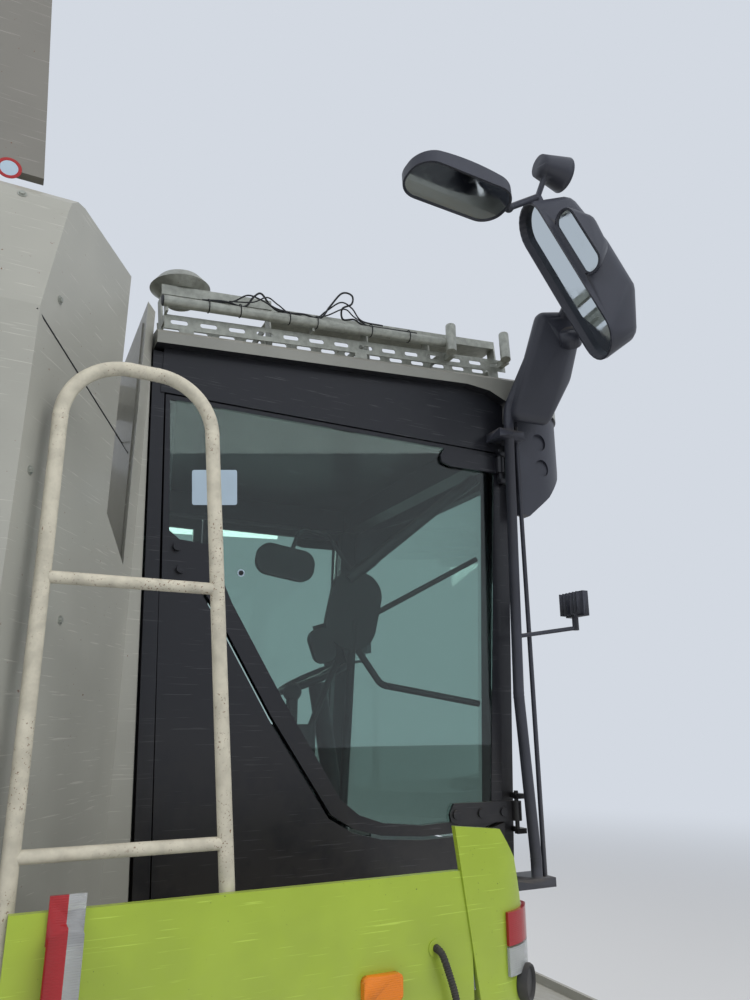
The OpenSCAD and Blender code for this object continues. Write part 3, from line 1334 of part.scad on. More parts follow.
// Corner pod: side outline, plan with a round corner, hollow behind, top falling inwards
module corner_pod(top_z) {
  t = 20;
  corner = 190;
  y0 = -body_half - 6;
  outline = [
    [pod_x0 + 7, skirt_top_z + 123], [pod_x0 + 170, skirt_top_z + 106], [pod_x0 + 235, skirt_top_z + 20],
    [pod_x0 + 311, skirt_top_z - 269], [pod_x0 + 320, skirt_top_z - 470], [pod_x0 + 240, skirt_top_z - 600],
    [pod_x0 + 79, skirt_top_z - 342]
  ];
  difference() {
    intersection() {
      side_plate(outline, y0, -1060);
      translate([0, 0, skirt_top_z - 700])
        linear_extrude(900)
          difference() {
            union() {
              translate([pod_x0, y0]) square([330 - corner, 540]);
              translate([pod_x0, y0 + corner]) square([330, 540 - corner]);
              translate([pod_x0 + 330 - corner, y0 + corner]) circle(corner, $fn = 64);
            }
            translate([pod_x0 - 10, y0 + t]) square([320 - corner - t, 600]);
            translate([pod_x0 - 10, y0 + corner]) square([340 - t, 600]);
            translate([pod_x0 + 330 - corner, y0 + corner]) circle(corner - t, $fn = 64);
          }
      cross_plate([
        [y0 - 1, 1200], [y0 - 1, top_z], [y0 + 60, top_z], [y0 + 150, min(top_z, 1872)],
        [-1050, min(top_z, 1872)], [-1050, 1200]
      ], pod_x0 - 5, pod_x0 + 400);
    }
    // Opening for the round headlamp
    translate([pod_x0 + 200, -1330, skirt_top_z - 330]) rotate([0, 90, 0]) cylinder(h = 200, r = 85);
  }
  // Bracket to the platform's front edge
  block([platform_x1 - 60, -1300, platform_z - 45 - 30], [pod_x0 + 312, -1100, platform_z - 45 - seat_gap]);
}

module lamps() color("#d8742a") {
  // Side marker on the right skirt, upright lamp at its rear end on a bracket, lenses round the pod's corner
  translate([2648, -body_half, 1603]) rotate([90, 0, 0]) linear_extrude(24) rounded_rect(117, 66, 14);
  translate([1824, -body_half - 8, 1702]) rotate([90, 0, 0]) linear_extrude(52) rounded_rect(76, 284, 18);
  block([1784, -body_half - 10, 1800], [1866, -body_half, 1905]);
  for (z = [[1575, 1650], [1655, 1745]])
    intersection() {
      translate([pod_x0 + 140, -body_half + 184, z[0]])
        difference() {
          cylinder(h = z[1] - z[0], r = 202);
          translate([0, 0, -1]) cylinder(h = 100, r = 190 + seat_gap);
        }
      block([3070, -1700, 1500], [3205, -1500, 1800]);
    }
  both_sides()
    translate([pod_x0 + 200, -1330, skirt_top_z - 330]) rotate([0, 90, 0]) cylinder(h = 122, r = 85 - seat_gap);
  for (y = lamp_row)
    translate([roof_front_x - 62 + seat_gap, y, visor_lamp_z]) rotate([0, 90, 0]) cylinder(h = 42, r = 66);
  for (s = [-1, 1])
    block([-4414, s * 1050 - 60, 1700], [-4398.2, s * 1050 + 60, 2010]);
}

module ladder() color("#b4b6ae") {
  x0 = ladder_x0;
  x1 = ladder_x1;
  top = [1440, 1675];
  foot = [1585, 430];
  difference() {
    union() {
      for (x = [x0, x1])
        tube([x, top[0], top[1]], [x, foot[0], foot[1]], 40);
      for (i = [0 : 4]) {
        z = foot[1] + 30 + i * 245;
        y = foot[0] + (top[0] - foot[0]) * (z - foot[1]) / (top[1] - foot[1]);
        block([x0, y - 95, z], [x1, y + 60, z + 30]);
      }
      for (x = [x0 - 18, x1 - 2])
        translate([x, top[0], top[1]]) rotate([0, 90, 0]) cylinder(h = 20, r = 34, $fn = 32);
    }
    for (x = [x0 - 30, x1 - 22])
      translate([x, top[0], top[1]]) rotate([0, 90, 0]) cylinder(h = 52, r = ladder_pin_r + pin_gap, $fn = 32);
  }
}

// Feeder house

pivot_y = 590;
pivot_r = 30;
lift_pin_r = 18;
feeder_len = (front_end_x - feeder_pivot_x - (feeder_h / 2 + 40) * sin(feeder_slope)) / cos(feeder_slope);

// Places a child at the pivot, with local X along the channel and Z across it
module at_feeder()
  translate([feeder_pivot_x, 0, feeder_pivot_z])
    rotate([0, feeder_slope, 0])
      children();

module feeder_house() color("#b3b6ae") {
  half = feeder_w / 2;
  wall = 30;
  h = feeder_h / 2;
  at_feeder() {
    difference() {
      union() {
        side_plate([
          [60, -h + 70], [60, h - 100], [250, h - 70], [700, h], [feeder_len - 60, h], [feeder_len - 60, -h],
          [700, -h], [250, -h + 50]
        ], -half, half);
        // Face frame that a header hangs on
        block([feeder_len - 61, -half - 60, -h - 40], [feeder_len, half + 60, h + 40]);
        // Ears with the lock holes
        for (s = [-1, 1])
          block([feeder_len - 150, s * (half + 35) - 15, -h - 130], [feeder_len, s * (half + 35) + 15, -h + 40]);
      }
      block([59 + wall, -half + wall, -h + 70 + wall], [feeder_len + 1, half - wall, h - 100 - wall]);
      block([720, -half + wall, -h + wall], [feeder_len + 1, half - wall, h - wall]);
      for (s = [-1, 1])
        drum(feeder_len - 75, -h - 85, header_lock_r, s * (half + 35) - 20, s * (half + 35) + 20);
    }
    // Pivot bosses
    for (s = [-1, 1])
      difference() {
        drum(0, 0, 70, s * pivot_y - 30, s * pivot_y + 30);
        drum(0, 0, pivot_r + pin_gap, s * pivot_y - 31, s * pivot_y + 31);
      }
    for (s = [-1, 1])
      side_plate([[50, -50], [50, 50], [90, 120], [90, -120]], s * pivot_y - 29, s * pivot_y + 29);
    // Lift cylinder lugs under the floor
    for (s = [-1, 1])
      for (e = [-1, 1])
        side_plate([
          [1180, -h + 5], [1420, -h + 5], [1340, -h - 115], [1260, -h - 115]
        ], s * lift_y + e * 44 - 10, s * lift_y + e * 44 + 10);
    for (s = [-1, 1])
      drum(lift_eye_local[0], lift_eye_local[1], lift_pin_r, s * lift_y - 40, s * lift_y + 40);
  }
  // Shaft stubs of the feeder drive on the left
  at_feeder()
    drum(feeder_len - 260, 20, 45, half - 1, half + 120);
}

chain_bar_pitch = 165;
module feeder_chain() color("#5d6164") {
  half = feeder_w / 2 - 45;
  h = feeder_h / 2;
  drum_x = feeder_len - 260;
  drum_r = 110;
  at_feeder() {
    drum(drum_x, 20, drum_r, -half + 30, half - 30);
    drum(drum_x, 20, 30, -half - 15 + seat_gap, half + 15 - seat_gap);
    for (y = [-half + 90, -200, 200, half - 90]) {
      for (s = [-1, 1])
        block([450, y - 18, 20 + s * (drum_r + 12) - 10], [drum_x, y + 18, 20 + s * (drum_r + 12) + 10]);
      difference() {
        drum(drum_x, 20, drum_r + 22, y - 18, y + 18);
        block([drum_x - 300, y - 20, -200], [drum_x - 1, y + 20, 300]);
      }
    }
    for (i = [0 : floor((drum_x - 560) / chain_bar_pitch)])
      for (s = [-1, 1])
        block([drum_x - 40 - i * chain_bar_pitch - 18, -half + 40, 20 + s * (drum_r + 30) - 18],
           [drum_x - 40 - i * chain_bar_pitch + 18, half - 40, 20 + s * (drum_r + 30) + 10]);
  }
}

// Lift cylinders

lift_foot = [1560, 820];
lift_y = 480;
lift_eye_local = [1300, -feeder_h / 2 - 75];
lift_eye = [
  feeder_pivot_x + lift_eye_local[0] * cos(feeder_slope) + lift_eye_local[1] * sin(feeder_slope),
  feeder_pivot_z - lift_eye_local[0] * sin(feeder_slope) + lift_eye_local[1] * cos(feeder_slope)
];
lift_dir = (lift_eye - lift_foot) / norm(lift_eye - lift_foot);
lift_len = norm(lift_eye - lift_foot);

module at_lift(y)
  translate([lift_foot[0], y, lift_foot[1]])
    rotate([0, 90 - atan2(lift_dir[1], lift_dir[0]), 0])
      children();

module lift_barrels() color("#2f3336")
  for (s = [-1, 1])
    difference() {
      union() {
        at_lift(s * lift_y) translate([0, 0, 110]) cylinder(h = lift_len * 0.66, r = 50);
        at_lift(s * lift_y) translate([0, 0, 20]) cylinder(h = 100, r = 28);
        drum(lift_foot[0], lift_foot[1], 46, s * lift_y - 30, s * lift_y + 30);
      }
      drum(lift_foot[0], lift_foot[1], 20 + pin_gap, s * lift_y - 31, s * lift_y + 31);
      at_lift(s * lift_y) translate([0, 0, 150]) cylinder(h = lift_len, r = 30 + pin_gap);
    }

module lift_rods() color("#c9ccce")
  for (s = [-1, 1]) {
    at_lift(s * lift_y) translate([0, 0, lift_len * 0.36]) cylinder(h = lift_len * 0.64 - 36, r = 30);
    difference() {
      drum(lift_eye[0], lift_eye[1], 46, s * lift_y - 28, s * lift_y + 28);
      drum(lift_eye[0], lift_eye[1], lift_pin_r + 8, s * lift_y - 29, s * lift_y + 29);
    }
  }

frame();
body_core();
belt_drives();
engine_block();
grain_tank();
filling_auger();
engine_deck();
engine_hood();
straw_hood();
chopper();
front_axle();
rear_axle();
cab_frame();
cab_glass();
cab_seat();
cab_controls();
cab_roof();
roof_visor();
antenna_rack();
mirrors();
mirror_glass();
platforms();
handrails();
side_skirts();
wiring();
lamps();
fuel_tank();
front_tyre_left();
front_rim_left();
front_tyre_right();
front_rim_right();
rear_tyre_left();
rear_rim_left();
rear_tyre_right();
rear_rim_right();
knuckle_left();
knuckle_right();
tie_rod();
feeder_house();
feeder_chain();
lift_barrels();
lift_rods();
door_left();
door_glass_left();
window_right();
window_glass_right();
side_panel_left();
side_panel_right();
tank_lid_left();
tank_lid_right();
unloading_tube();
ladder();
radiator_screen();
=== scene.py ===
"""Finish, small parts and studio for the combine harvester.

Run as a script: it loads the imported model, dresses it piece by piece and sets the camera.
"""
import math

import bmesh
import bpy
from mathutils import Euler, Matrix, Vector
from mathutils.bvhtree import BVHTree


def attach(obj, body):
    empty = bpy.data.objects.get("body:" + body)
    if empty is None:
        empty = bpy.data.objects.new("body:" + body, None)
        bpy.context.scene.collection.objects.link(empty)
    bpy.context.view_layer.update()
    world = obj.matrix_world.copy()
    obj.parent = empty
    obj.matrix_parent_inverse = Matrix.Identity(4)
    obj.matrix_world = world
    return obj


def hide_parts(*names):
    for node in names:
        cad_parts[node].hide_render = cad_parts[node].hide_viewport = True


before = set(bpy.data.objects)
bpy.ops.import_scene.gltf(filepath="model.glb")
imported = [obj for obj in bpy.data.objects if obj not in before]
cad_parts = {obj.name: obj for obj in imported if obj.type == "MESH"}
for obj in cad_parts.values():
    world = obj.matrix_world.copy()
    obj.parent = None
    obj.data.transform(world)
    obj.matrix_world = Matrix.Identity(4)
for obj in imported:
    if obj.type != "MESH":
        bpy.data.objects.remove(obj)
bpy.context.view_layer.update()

# The camera, solved from the photograph of 750 by 1000 pixels
PHOTO_WIDTH, PHOTO_HEIGHT = 750, 1000
EYE = Vector((1.6, -3.7, 2.3))
EYE_TURN = Euler((math.radians(90 + 16.3), 0, math.radians(-26.4)))
EYE_FOCAL = 751
SENSOR = 36

bl_info = {
    "name": "Combine harvester finish",
    "version": (1, 0, 0),
    "blender": (4, 5, 0),
    "location": "View3D > Sidebar > Harvester",
    "description": "Paints, glazes and fits out the combine harvester",
    "category": "Object",
}


def linear(code):
    """Linear colour with alpha 1 from an sRGB hex code."""
    parts = [int(code[i:i + 2], 16) / 255 for i in (1, 3, 5)]
    return tuple(c / 12.92 if c <= 0.04045 else ((c + 0.055) / 1.055) ** 2.4 for c in parts) + (1.0,)


def colour_property(name, description, code):
    return bpy.props.FloatVectorProperty(
        name=name, description=description, default=linear(code), size=4, min=0.0, max=1.0, subtype="COLOR")


def length_property(name, description, metres):
    return bpy.props.FloatProperty(
        name=name, description=description, default=metres, min=0.0001, unit="LENGTH")


class HarvesterColours(bpy.types.PropertyGroup):
    """Paints and plastics of the machine."""
    green: colour_property("Body green", "Enamel of hoods, skirts and pods", "#9DB436")
    tank: colour_property("Tank grey", "Powder coat of the grain tank", "#A2A29A")
    # Lid grey is the tank's coat darkened: painted shade on the lids' upright faces
    lid: colour_property("Lid grey in painted shade", "Tank coat darkened on the lids as painted shade", "#7B7973")
    roof: colour_property("Roof grey", "Moulded cab roof", "#84857F")
    chassis: colour_property("Chassis grey", "Frame, decks and brackets", "#4A4D4F")
    cab: colour_property("Cab black", "Painted cab frame and window borders", "#15161C")
    mirror_shell: colour_property("Mirror shell", "Moulded mirror housings", "#34363F")
    rail: colour_property("Handrail cream", "Paint of the handrails", "#C6C1B0")
    rim: colour_property("Rim grey", "Paint of the wheel rims", "#C6C7C0")
    rubber: colour_property("Tyre rubber", "Tyres and belts", "#2A2A2B")
    glass: colour_property("Cab glass", "Tint of the cab windows", "#B3C8C2")
    fabric: colour_property("Seat fabric", "Cloth of the operator's seat", "#3A3D42")
    dust: colour_property("Field dust", "Dust that lies on ledges and low down", "#8E8574")
    rust: colour_property("Rust", "Chips down to bare steel", "#6A452C")
    floor: colour_property("Studio floor", "Floor under the machine", "#D9DADB")
    sky: colour_property("Studio backdrop", "What the camera sees behind the machine", "#D3D9E2")


class HarvesterSizes(bpy.types.PropertyGroup):
    """Sizes of the small parts."""
    bolt: length_property("Bolt head", "Width across a panel bolt's head", 0.018)
    stud: length_property("Grip stud", "Width of a raised stud on the platforms", 0.012)
    stud_pitch: length_property("Stud pitch", "Distance between the studs", 0.055)
    cable: length_property("Cable", "Diameter of the wiring on the rack", 0.009)
    hose: length_property("Ribbed hose", "Diameter of the conduit at the skirt", 0.022)
    hose_pitch: length_property("Hose pitch", "Distance between the ribs of the conduit", 0.007)


def paints():
    return bpy.context.scene.harvester_colours


def sizes():
    return bpy.context.scene.harvester_sizes


# Materials

def add(tree, kind, settings=None, inputs=None):
    """Adds a node with its settings and its inputs, which are values or sockets to link from."""
    node = tree.nodes.new(kind)
    for key, value in (settings or {}).items():
        setattr(node, key, value)
    for key, value in (inputs or {}).items():
        if isinstance(value, bpy.types.NodeSocket):
            tree.links.new(value, node.inputs[key])
        else:
            node.inputs[key].default_value = value
    return node


def new_material(name, **shader_values):
    """A material with one Principled shader, and the tree, shader and object coordinates of it."""
    material = bpy.data.materials.new(name)
    material.use_nodes = True
    tree = material.node_tree
    tree.nodes.clear()
    shader = add(tree, "ShaderNodeBsdfPrincipled", inputs=shader_values)
    output = add(tree, "ShaderNodeOutputMaterial")
    tree.links.new(shader.outputs["BSDF"], output.inputs["Surface"])
    place = add(tree, "ShaderNodeTexCoord").outputs["Object"]
    return material, tree, shader, place


def noise_mask(tree, place, size, low, high, detail=3.0, stretch=(1, 1, 1)):
    """A mask from 0 to 1 with patches about size metres wide, which starts at low and is full at high."""
    mapped = add(tree, "ShaderNodeMapping", inputs={"Vector": place, "Scale": stretch})
    noise = add(tree, "ShaderNodeTexNoise",
                inputs={"Vector": mapped.outputs[0], "Scale": 1.0 / size, "Detail": detail, "Roughness": 0.6})
    ranged = add(tree, "ShaderNodeMapRange", {"interpolation_type": "SMOOTHSTEP"},
                 {"Value": noise.outputs[0], "From Min": low, "From Max": high})
    return ranged.outputs[0]


def mixed(tree, factor, a, b):
    node = add(tree, "ShaderNodeMix", {"data_type": "RGBA"})
    for key, value in ((0, factor), (6, a), (7, b)):
        if isinstance(value, bpy.types.NodeSocket):
            tree.links.new(value, node.inputs[key])
        else:
            node.inputs[key].default_value = value
    return node.outputs[2]


def calculated(tree, operation, a, b=0.0):
    return add(tree, "ShaderNodeMath", {"operation": operation, "use_clamp": True}, {0: a, 1: b}).outputs[0]


def worn_coat(name, colour, roughness=0.45, metallic=0.0, coat=0.0, mottle=0.06, mottle_size=0.25,
              dust=0.35, dust_top=2.2, ledge=0.5, chips=0.0, chip_size=0.012, scratches=0.0,
              grain=0.0, grain_size=0.002, rust_edges=None, underside_shade=None):
    """A painted, plated or moulded finish that has been in the field.

    mottle is the change in shade between patches, dust the most dust low down, ledge the dust on faces that
    look up, chips and scratches the share of bare or rusty spots, grain the height of the fine texture, and
    underside the colour of faces that look down, painted there as shade.
    """
    material, tree, shader, place = new_material(
        name, **{"Metallic": metallic, "Coat Weight": coat, "Coat Roughness": 0.12})
    colours = paints()
    shade = noise_mask(tree, place, mottle_size, 0.3, 0.7)
    darker = tuple(c * (1 - mottle * 1.6) for c in colour[:3]) + (1.0,)
    lighter = tuple(min(1.0, c * (1 + mottle)) for c in colour[:3]) + (1.0,)
    surface = mixed(tree, shade, darker, lighter)
    if scratches:
        fine = noise_mask(tree, place, 0.05, 0.66 - 0.05 * scratches, 0.70, 2.0, (0.25, 0.25, 9.0))
        light = tuple(min(1.0, c * 1.6 + 0.06) for c in colour[:3]) + (1.0,)
        surface = mixed(tree, calculated(tree, "MULTIPLY", fine, 0.45), surface, light)
    spots = None
    if chips:
        spots = noise_mask(tree, place, chip_size, 0.70 - 0.12 * chips, 0.73 - 0.10 * chips, 4.0)
        patches = noise_mask(tree, place, 0.16, 0.42, 0.62, 2.0)
        spots = calculated(tree, "MULTIPLY", spots, patches)
        surface = mixed(tree, spots, surface, rust_edges or tuple(colours.rust))
    normal = add(tree, "ShaderNodeNewGeometry").outputs["Normal"]
    up = add(tree, "ShaderNodeSeparateXYZ", inputs={0: normal}).outputs["Z"]
    height = add(tree, "ShaderNodeSeparateXYZ", inputs={0: place}).outputs["Z"]
    low_down = add(tree, "ShaderNodeMapRange",
                   inputs={"Value": height, "From Min": dust_top, "From Max": 0.2, "To Max": dust}).outputs[0]
    on_ledge = add(tree, "ShaderNodeMapRange",
                   inputs={"Value": up, "From Min": 0.55, "From Max": 1.0, "To Max": ledge}).outputs[0]
    settled = calculated(tree, "MAXIMUM", low_down, on_ledge)
    broken = noise_mask(tree, place, 0.09, 0.25, 0.75, 6.0)
    dusty = calculated(tree, "MULTIPLY", settled, calculated(tree, "ADD", broken, 0.35))
    # Painted shade: faces that look down are mixed towards the dark underside colour
    if underside_shade:
        shade_below = add(tree, "ShaderNodeMapRange",
                    inputs={"Value": up, "From Min": -0.35, "From Max": -0.6}).outputs[0]
        surface = mixed(tree, shade_below, surface, underside_shade)
    surface = mixed(tree, dusty, surface, tuple(colours.dust))
    tree.links.new(surface, shader.inputs["Base Color"])
    dull = add(tree, "ShaderNodeMapRange",
               inputs={"Value": calculated(tree, "ADD", dusty, calculated(tree, "MULTIPLY", shade, 0.12)),
                       "To Min": roughness, "To Max": 0.92}).outputs[0]
    tree.links.new(dull, shader.inputs["Roughness"])
    if grain:
        noise = add(tree, "ShaderNodeTexNoise",
                    inputs={"Vector": place, "Scale": 1.0 / grain_size, "Detail": 3.0})
        bump = add(tree, "ShaderNodeBump",
                   inputs={"Height": noise.outputs[0], "Strength": 0.35, "Distance": grain})
        tree.links.new(bump.outputs[0], shader.inputs["Normal"])
    return material


def tinted_glass(name, colour, roughness=0.0, film=0.025):
    """Tempered glass with a light tint: clear and glossy, with a thin film of dust."""
    material, tree, shader, place = new_material(
        name, **{"Base Color": colour, "Transmission Weight": 1.0, "IOR": 1.5})
    patch = noise_mask(tree, place, 0.5, 0.35, 0.8, 1.0)
    rough = add(tree, "ShaderNodeMapRange",
                inputs={"Value": patch, "To Min": roughness, "To Max": film}).outputs[0]
    tree.links.new(rough, shader.inputs["Roughness"])
    return material


def lens_plastic(name, colour, glow=0.35):
    """Clear moulded acrylic of a lamp: coloured through, with a ribbed inside that breaks the light."""
    material, tree, shader, place = new_material(
        name, **{"Base Color": colour, "Roughness": 0.12, "Transmission Weight": glow, "IOR": 1.49})
    ribs = add(tree, "ShaderNodeTexWave", {"bands_direction": "Z"},
               {"Vector": place, "Scale": 60.0, "Distortion": 0.3})
    bump = add(tree, "ShaderNodeBump", inputs={"Height": ribs.outputs[1], "Strength": 0.4, "Distance": 0.001})
    tree.links.new(bump.outputs[0], shader.inputs["Normal"])
    return material


def silvered_glass(name):
    """Mirror glass: a silvered back seen through clear glass, a little dusty."""
    material, tree, shader, place = new_material(
        name, **{"Base Color": linear("#C8D0D4"), "Metallic": 1.0})
    rough = add(tree, "ShaderNodeMapRange",
                inputs={"Value": noise_mask(tree, place, 0.06, 0.4, 0.8),
                        "To Min": 0.03, "To Max": 0.16}).outputs[0]
    tree.links.new(rough, shader.inputs["Roughness"])
    return material


def tyre_rubber(name, colour):
    """Vulcanised rubber: matt black, paler where dry soil sticks between the lugs."""
    material, tree, shader, place = new_material(name, **{"Specular IOR Level": 0.3})
    colours = paints()
    soil = noise_mask(tree, place, 0.10, 0.35, 0.75, 6.0)
    surface = mixed(tree, calculated(tree, "MULTIPLY", soil, 0.55), colour, tuple(colours.dust))
    tree.links.new(surface, shader.inputs["Base Color"])
    rough = add(tree, "ShaderNodeMapRange", inputs={"Value": soil, "To Min": 0.72, "To Max": 0.95}).outputs[0]
    tree.links.new(rough, shader.inputs["Roughness"])
    noise = add(tree, "ShaderNodeTexNoise", inputs={"Vector": place, "Scale": 180.0, "Detail": 4.0})
    bump = add(tree, "ShaderNodeBump",
               inputs={"Height": noise.outputs[0], "Strength": 0.4, "Distance": 0.003})
    tree.links.new(bump.outputs[0], shader.inputs["Normal"])
    return material


def woven_fabric(name, colour):
    """Flat woven polyester: two crossing threads, drawn 4 mm wide so that the weave shows in the render."""
    material, tree, shader, place = new_material(name, **{"Roughness": 0.9, "Sheen Weight": 0.3})
    warp, weft = (add(tree, "ShaderNodeTexWave", {"bands_direction": way},
                      {"Vector": place, "Scale": 80.0}).outputs[1] for way in "YX")
    both = calculated(tree, "MULTIPLY", warp, weft)
    patch = noise_mask(tree, place, 0.08, 0.3, 0.7)
    light = tuple(min(1.0, c * 1.7) for c in colour[:3]) + (1.0,)
    threads = calculated(tree, "MULTIPLY", both, calculated(tree, "ADD", patch, 0.4))
    surface = mixed(tree, threads, colour, light)
    tree.links.new(surface, shader.inputs["Base Color"])
    bump = add(tree, "ShaderNodeBump", inputs={"Height": both, "Strength": 0.5, "Distance": 0.001})
    tree.links.new(bump.outputs[0], shader.inputs["Normal"])
    return material


FINISHES = {}


def finish(name):
    """A finish of the machine by its name, made once."""
    if name in FINISHES:
        return FINISHES[name]
    c = paints()
    makers = {
        # Sheen of sprayed enamel, fine scratches, dust low down
        "green enamel": lambda: worn_coat(
            name, tuple(c.green), 0.34, coat=0.25, mottle=0.05, dust=0.5, dust_top=1.9,
            ledge=0.25, chips=0.25, chip_size=0.01, scratches=0.3,
            rust_edges=linear("#3E4A1C")),
        # Satin sheet metal with faint cloudy shade
        "grey powder coat": lambda: worn_coat(
            name, tuple(c.tank), 0.40, coat=0.15, mottle=0.05, mottle_size=0.5,
            dust=0.15, dust_top=2.6, ledge=0.4, chips=0.12, scratches=0.3),
        # The same coat on the lids, flatter, and darker as painted shade
        "powder coat in painted shade": lambda: worn_coat(
            name, tuple(c.lid), 0.45, mottle=0.05, mottle_size=0.5, dust=0.1,
            ledge=0.4, chips=0.12, scratches=0.2),
        # Smooth moulded roof, with faces that look down painted dark as shade
        "grey gelcoat": lambda: worn_coat(
            name, tuple(c.roof), 0.36, coat=0.2, mottle=0.05, dust=0.1, ledge=0.55,
            underside_shade=linear("#1B1C20")),
        # Flat and gritty, browned by soil
        "chassis paint": lambda: worn_coat(
            name, tuple(c.chassis), 0.6, mottle=0.12, dust=0.8, dust_top=2.4,
            ledge=0.6, chips=0.4, grain=0.0006),
        # Rough, dark and dusty
        "cast iron": lambda: worn_coat(
            name, linear("#3B3E41"), 0.65, mottle=0.15, dust=0.8, ledge=0.6, chips=0.3,
            grain=0.0012, grain_size=0.004),
        # Bright rubbed metal with rusty spots
        "worn steel": lambda: worn_coat(
            name, linear("#8E9293"), 0.38, metallic=0.85, mottle=0.12, dust=0.5,
            ledge=0.4, chips=0.5, scratches=0.6),
        # Near mirror, for cylinder rods
        "hard chrome": lambda: worn_coat(
            name, linear("#C9CDD0"), 0.12, metallic=1.0, mottle=0.02, dust=0.15,
            ledge=0.1),
        # Grey crystalline plating with rust specks
        "zinc plate": lambda: worn_coat(
            name, linear("#A4A79F"), 0.42, metallic=0.55, mottle=0.12, mottle_size=0.03,
            dust=0.1, ledge=0.45, chips=0.35),
        # Deep black with a soft gloss
        "black enamel": lambda: worn_coat(
            name, tuple(c.cab), 0.34, coat=0.12, mottle=0.08, dust=0.2, dust_top=2.4,
            ledge=0.3, scratches=0.1),
        # Blue-black moulding with a fine leather grain
        "mirror shell": lambda: worn_coat(
            name, tuple(c.mirror_shell), 0.40, mottle=0.08, dust=0.2, ledge=0.35,
            grain=0.0003, grain_size=0.0015),
        # Flat black plastic
        "black moulding": lambda: worn_coat(
            name, linear("#202226"), 0.52, mottle=0.08, dust=0.35, ledge=0.3,
            grain=0.0003),
        # Dulled cream with dark chips and dirt
        "cream enamel": lambda: worn_coat(
            name, tuple(c.rail), 0.48, mottle=0.10, mottle_size=0.05, dust=0.35,
            dust_top=3.2, ledge=0.35, chips=0.85, chip_size=0.007),
        # Pale paint under soil
        "rim enamel": lambda: worn_coat(
            name, tuple(c.rim), 0.5, mottle=0.08, dust=0.7, dust_top=1.8, ledge=0.4,
            chips=0.4),
        # Matt rubber with dry soil
        "tyre rubber": lambda: tyre_rubber(name, tuple(c.rubber)),
        # The same rubber on belts
        "belt rubber": lambda: tyre_rubber(name, tuple(c.rubber)),
        # Green-grey tint, clear and reflecting
        "cab glass": lambda: tinted_glass(name, tuple(c.glass)),
        # Dusty mirror
        "silvered glass": lambda: silvered_glass(name),
        # Crossing threads
        "woven fabric": lambda: woven_fabric(name, tuple(c.fabric)),
        # Ribbed orange acrylic
        "amber lens": lambda: lens_plastic(name, linear("#E8821E"), 0.1),
        # Ribbed red acrylic
        "red lens": lambda: lens_plastic(name, linear("#A3262A"), 0.1),
        # Ribbed clear acrylic
        "clear lens": lambda: lens_plastic(name, linear("#D9DCDD"), 0.6),
        # Dull black of conduit and cable
        "ribbed polyamide": lambda: worn_coat(
            name, linear("#1E1F21"), 0.5, mottle=0.10, dust=0.4, ledge=0.3,
            grain=0.0003),
        # Blank pale sticker
        "pale film": lambda: worn_coat(
            name, linear("#A9BCCB"), 0.35, mottle=0.04, dust=0.05, ledge=0.1),
        # Blank red sticker
        "red film": lambda: worn_coat(
            name, linear("#9C2A2C"), 0.35, mottle=0.04, dust=0.05, ledge=0.1),
    }
    FINISHES[name] = makers[name]()
    return FINISHES[name]


NODE_FINISH = {
    "green enamel": ["body_core", "engine_hood", "straw_hood", "side_skirts",
                     "side_panel_left", "side_panel_right"],
    "grey powder coat": ["grain_tank", "feeder_house", "unloading_tube"],
    "powder coat in painted shade": ["tank_lid_left", "tank_lid_right"],
    "grey gelcoat": ["cab_roof"],
    "chassis paint": ["frame", "engine_deck", "chopper", "platforms", "lift_barrels", "radiator_screen"],
    "cast iron": ["engine_block", "front_axle", "rear_axle", "knuckle_left", "knuckle_right"],
    "worn steel": ["filling_auger", "tie_rod", "feeder_chain", "ladder"],
    "hard chrome": ["lift_rods"],
    "zinc plate": ["antenna_rack"],
    "black enamel": ["cab_frame", "door_left", "window_right"],
    "mirror shell": ["mirrors", "roof_visor"],
    "black moulding": ["cab_controls", "fuel_tank"],
    "cream enamel": ["handrails"],
    "rim enamel": ["front_rim_left", "front_rim_right", "rear_rim_left", "rear_rim_right"],
    "tyre rubber": ["front_tyre_left", "front_tyre_right", "rear_tyre_left", "rear_tyre_right"],
    "belt rubber": ["belt_drives", "wiring"],
    "cab glass": ["cab_glass", "door_glass_left", "window_glass_right"],
    "silvered glass": ["mirror_glass"],
    "woven fabric": ["cab_seat"],
    "amber lens": ["lamps"],
}


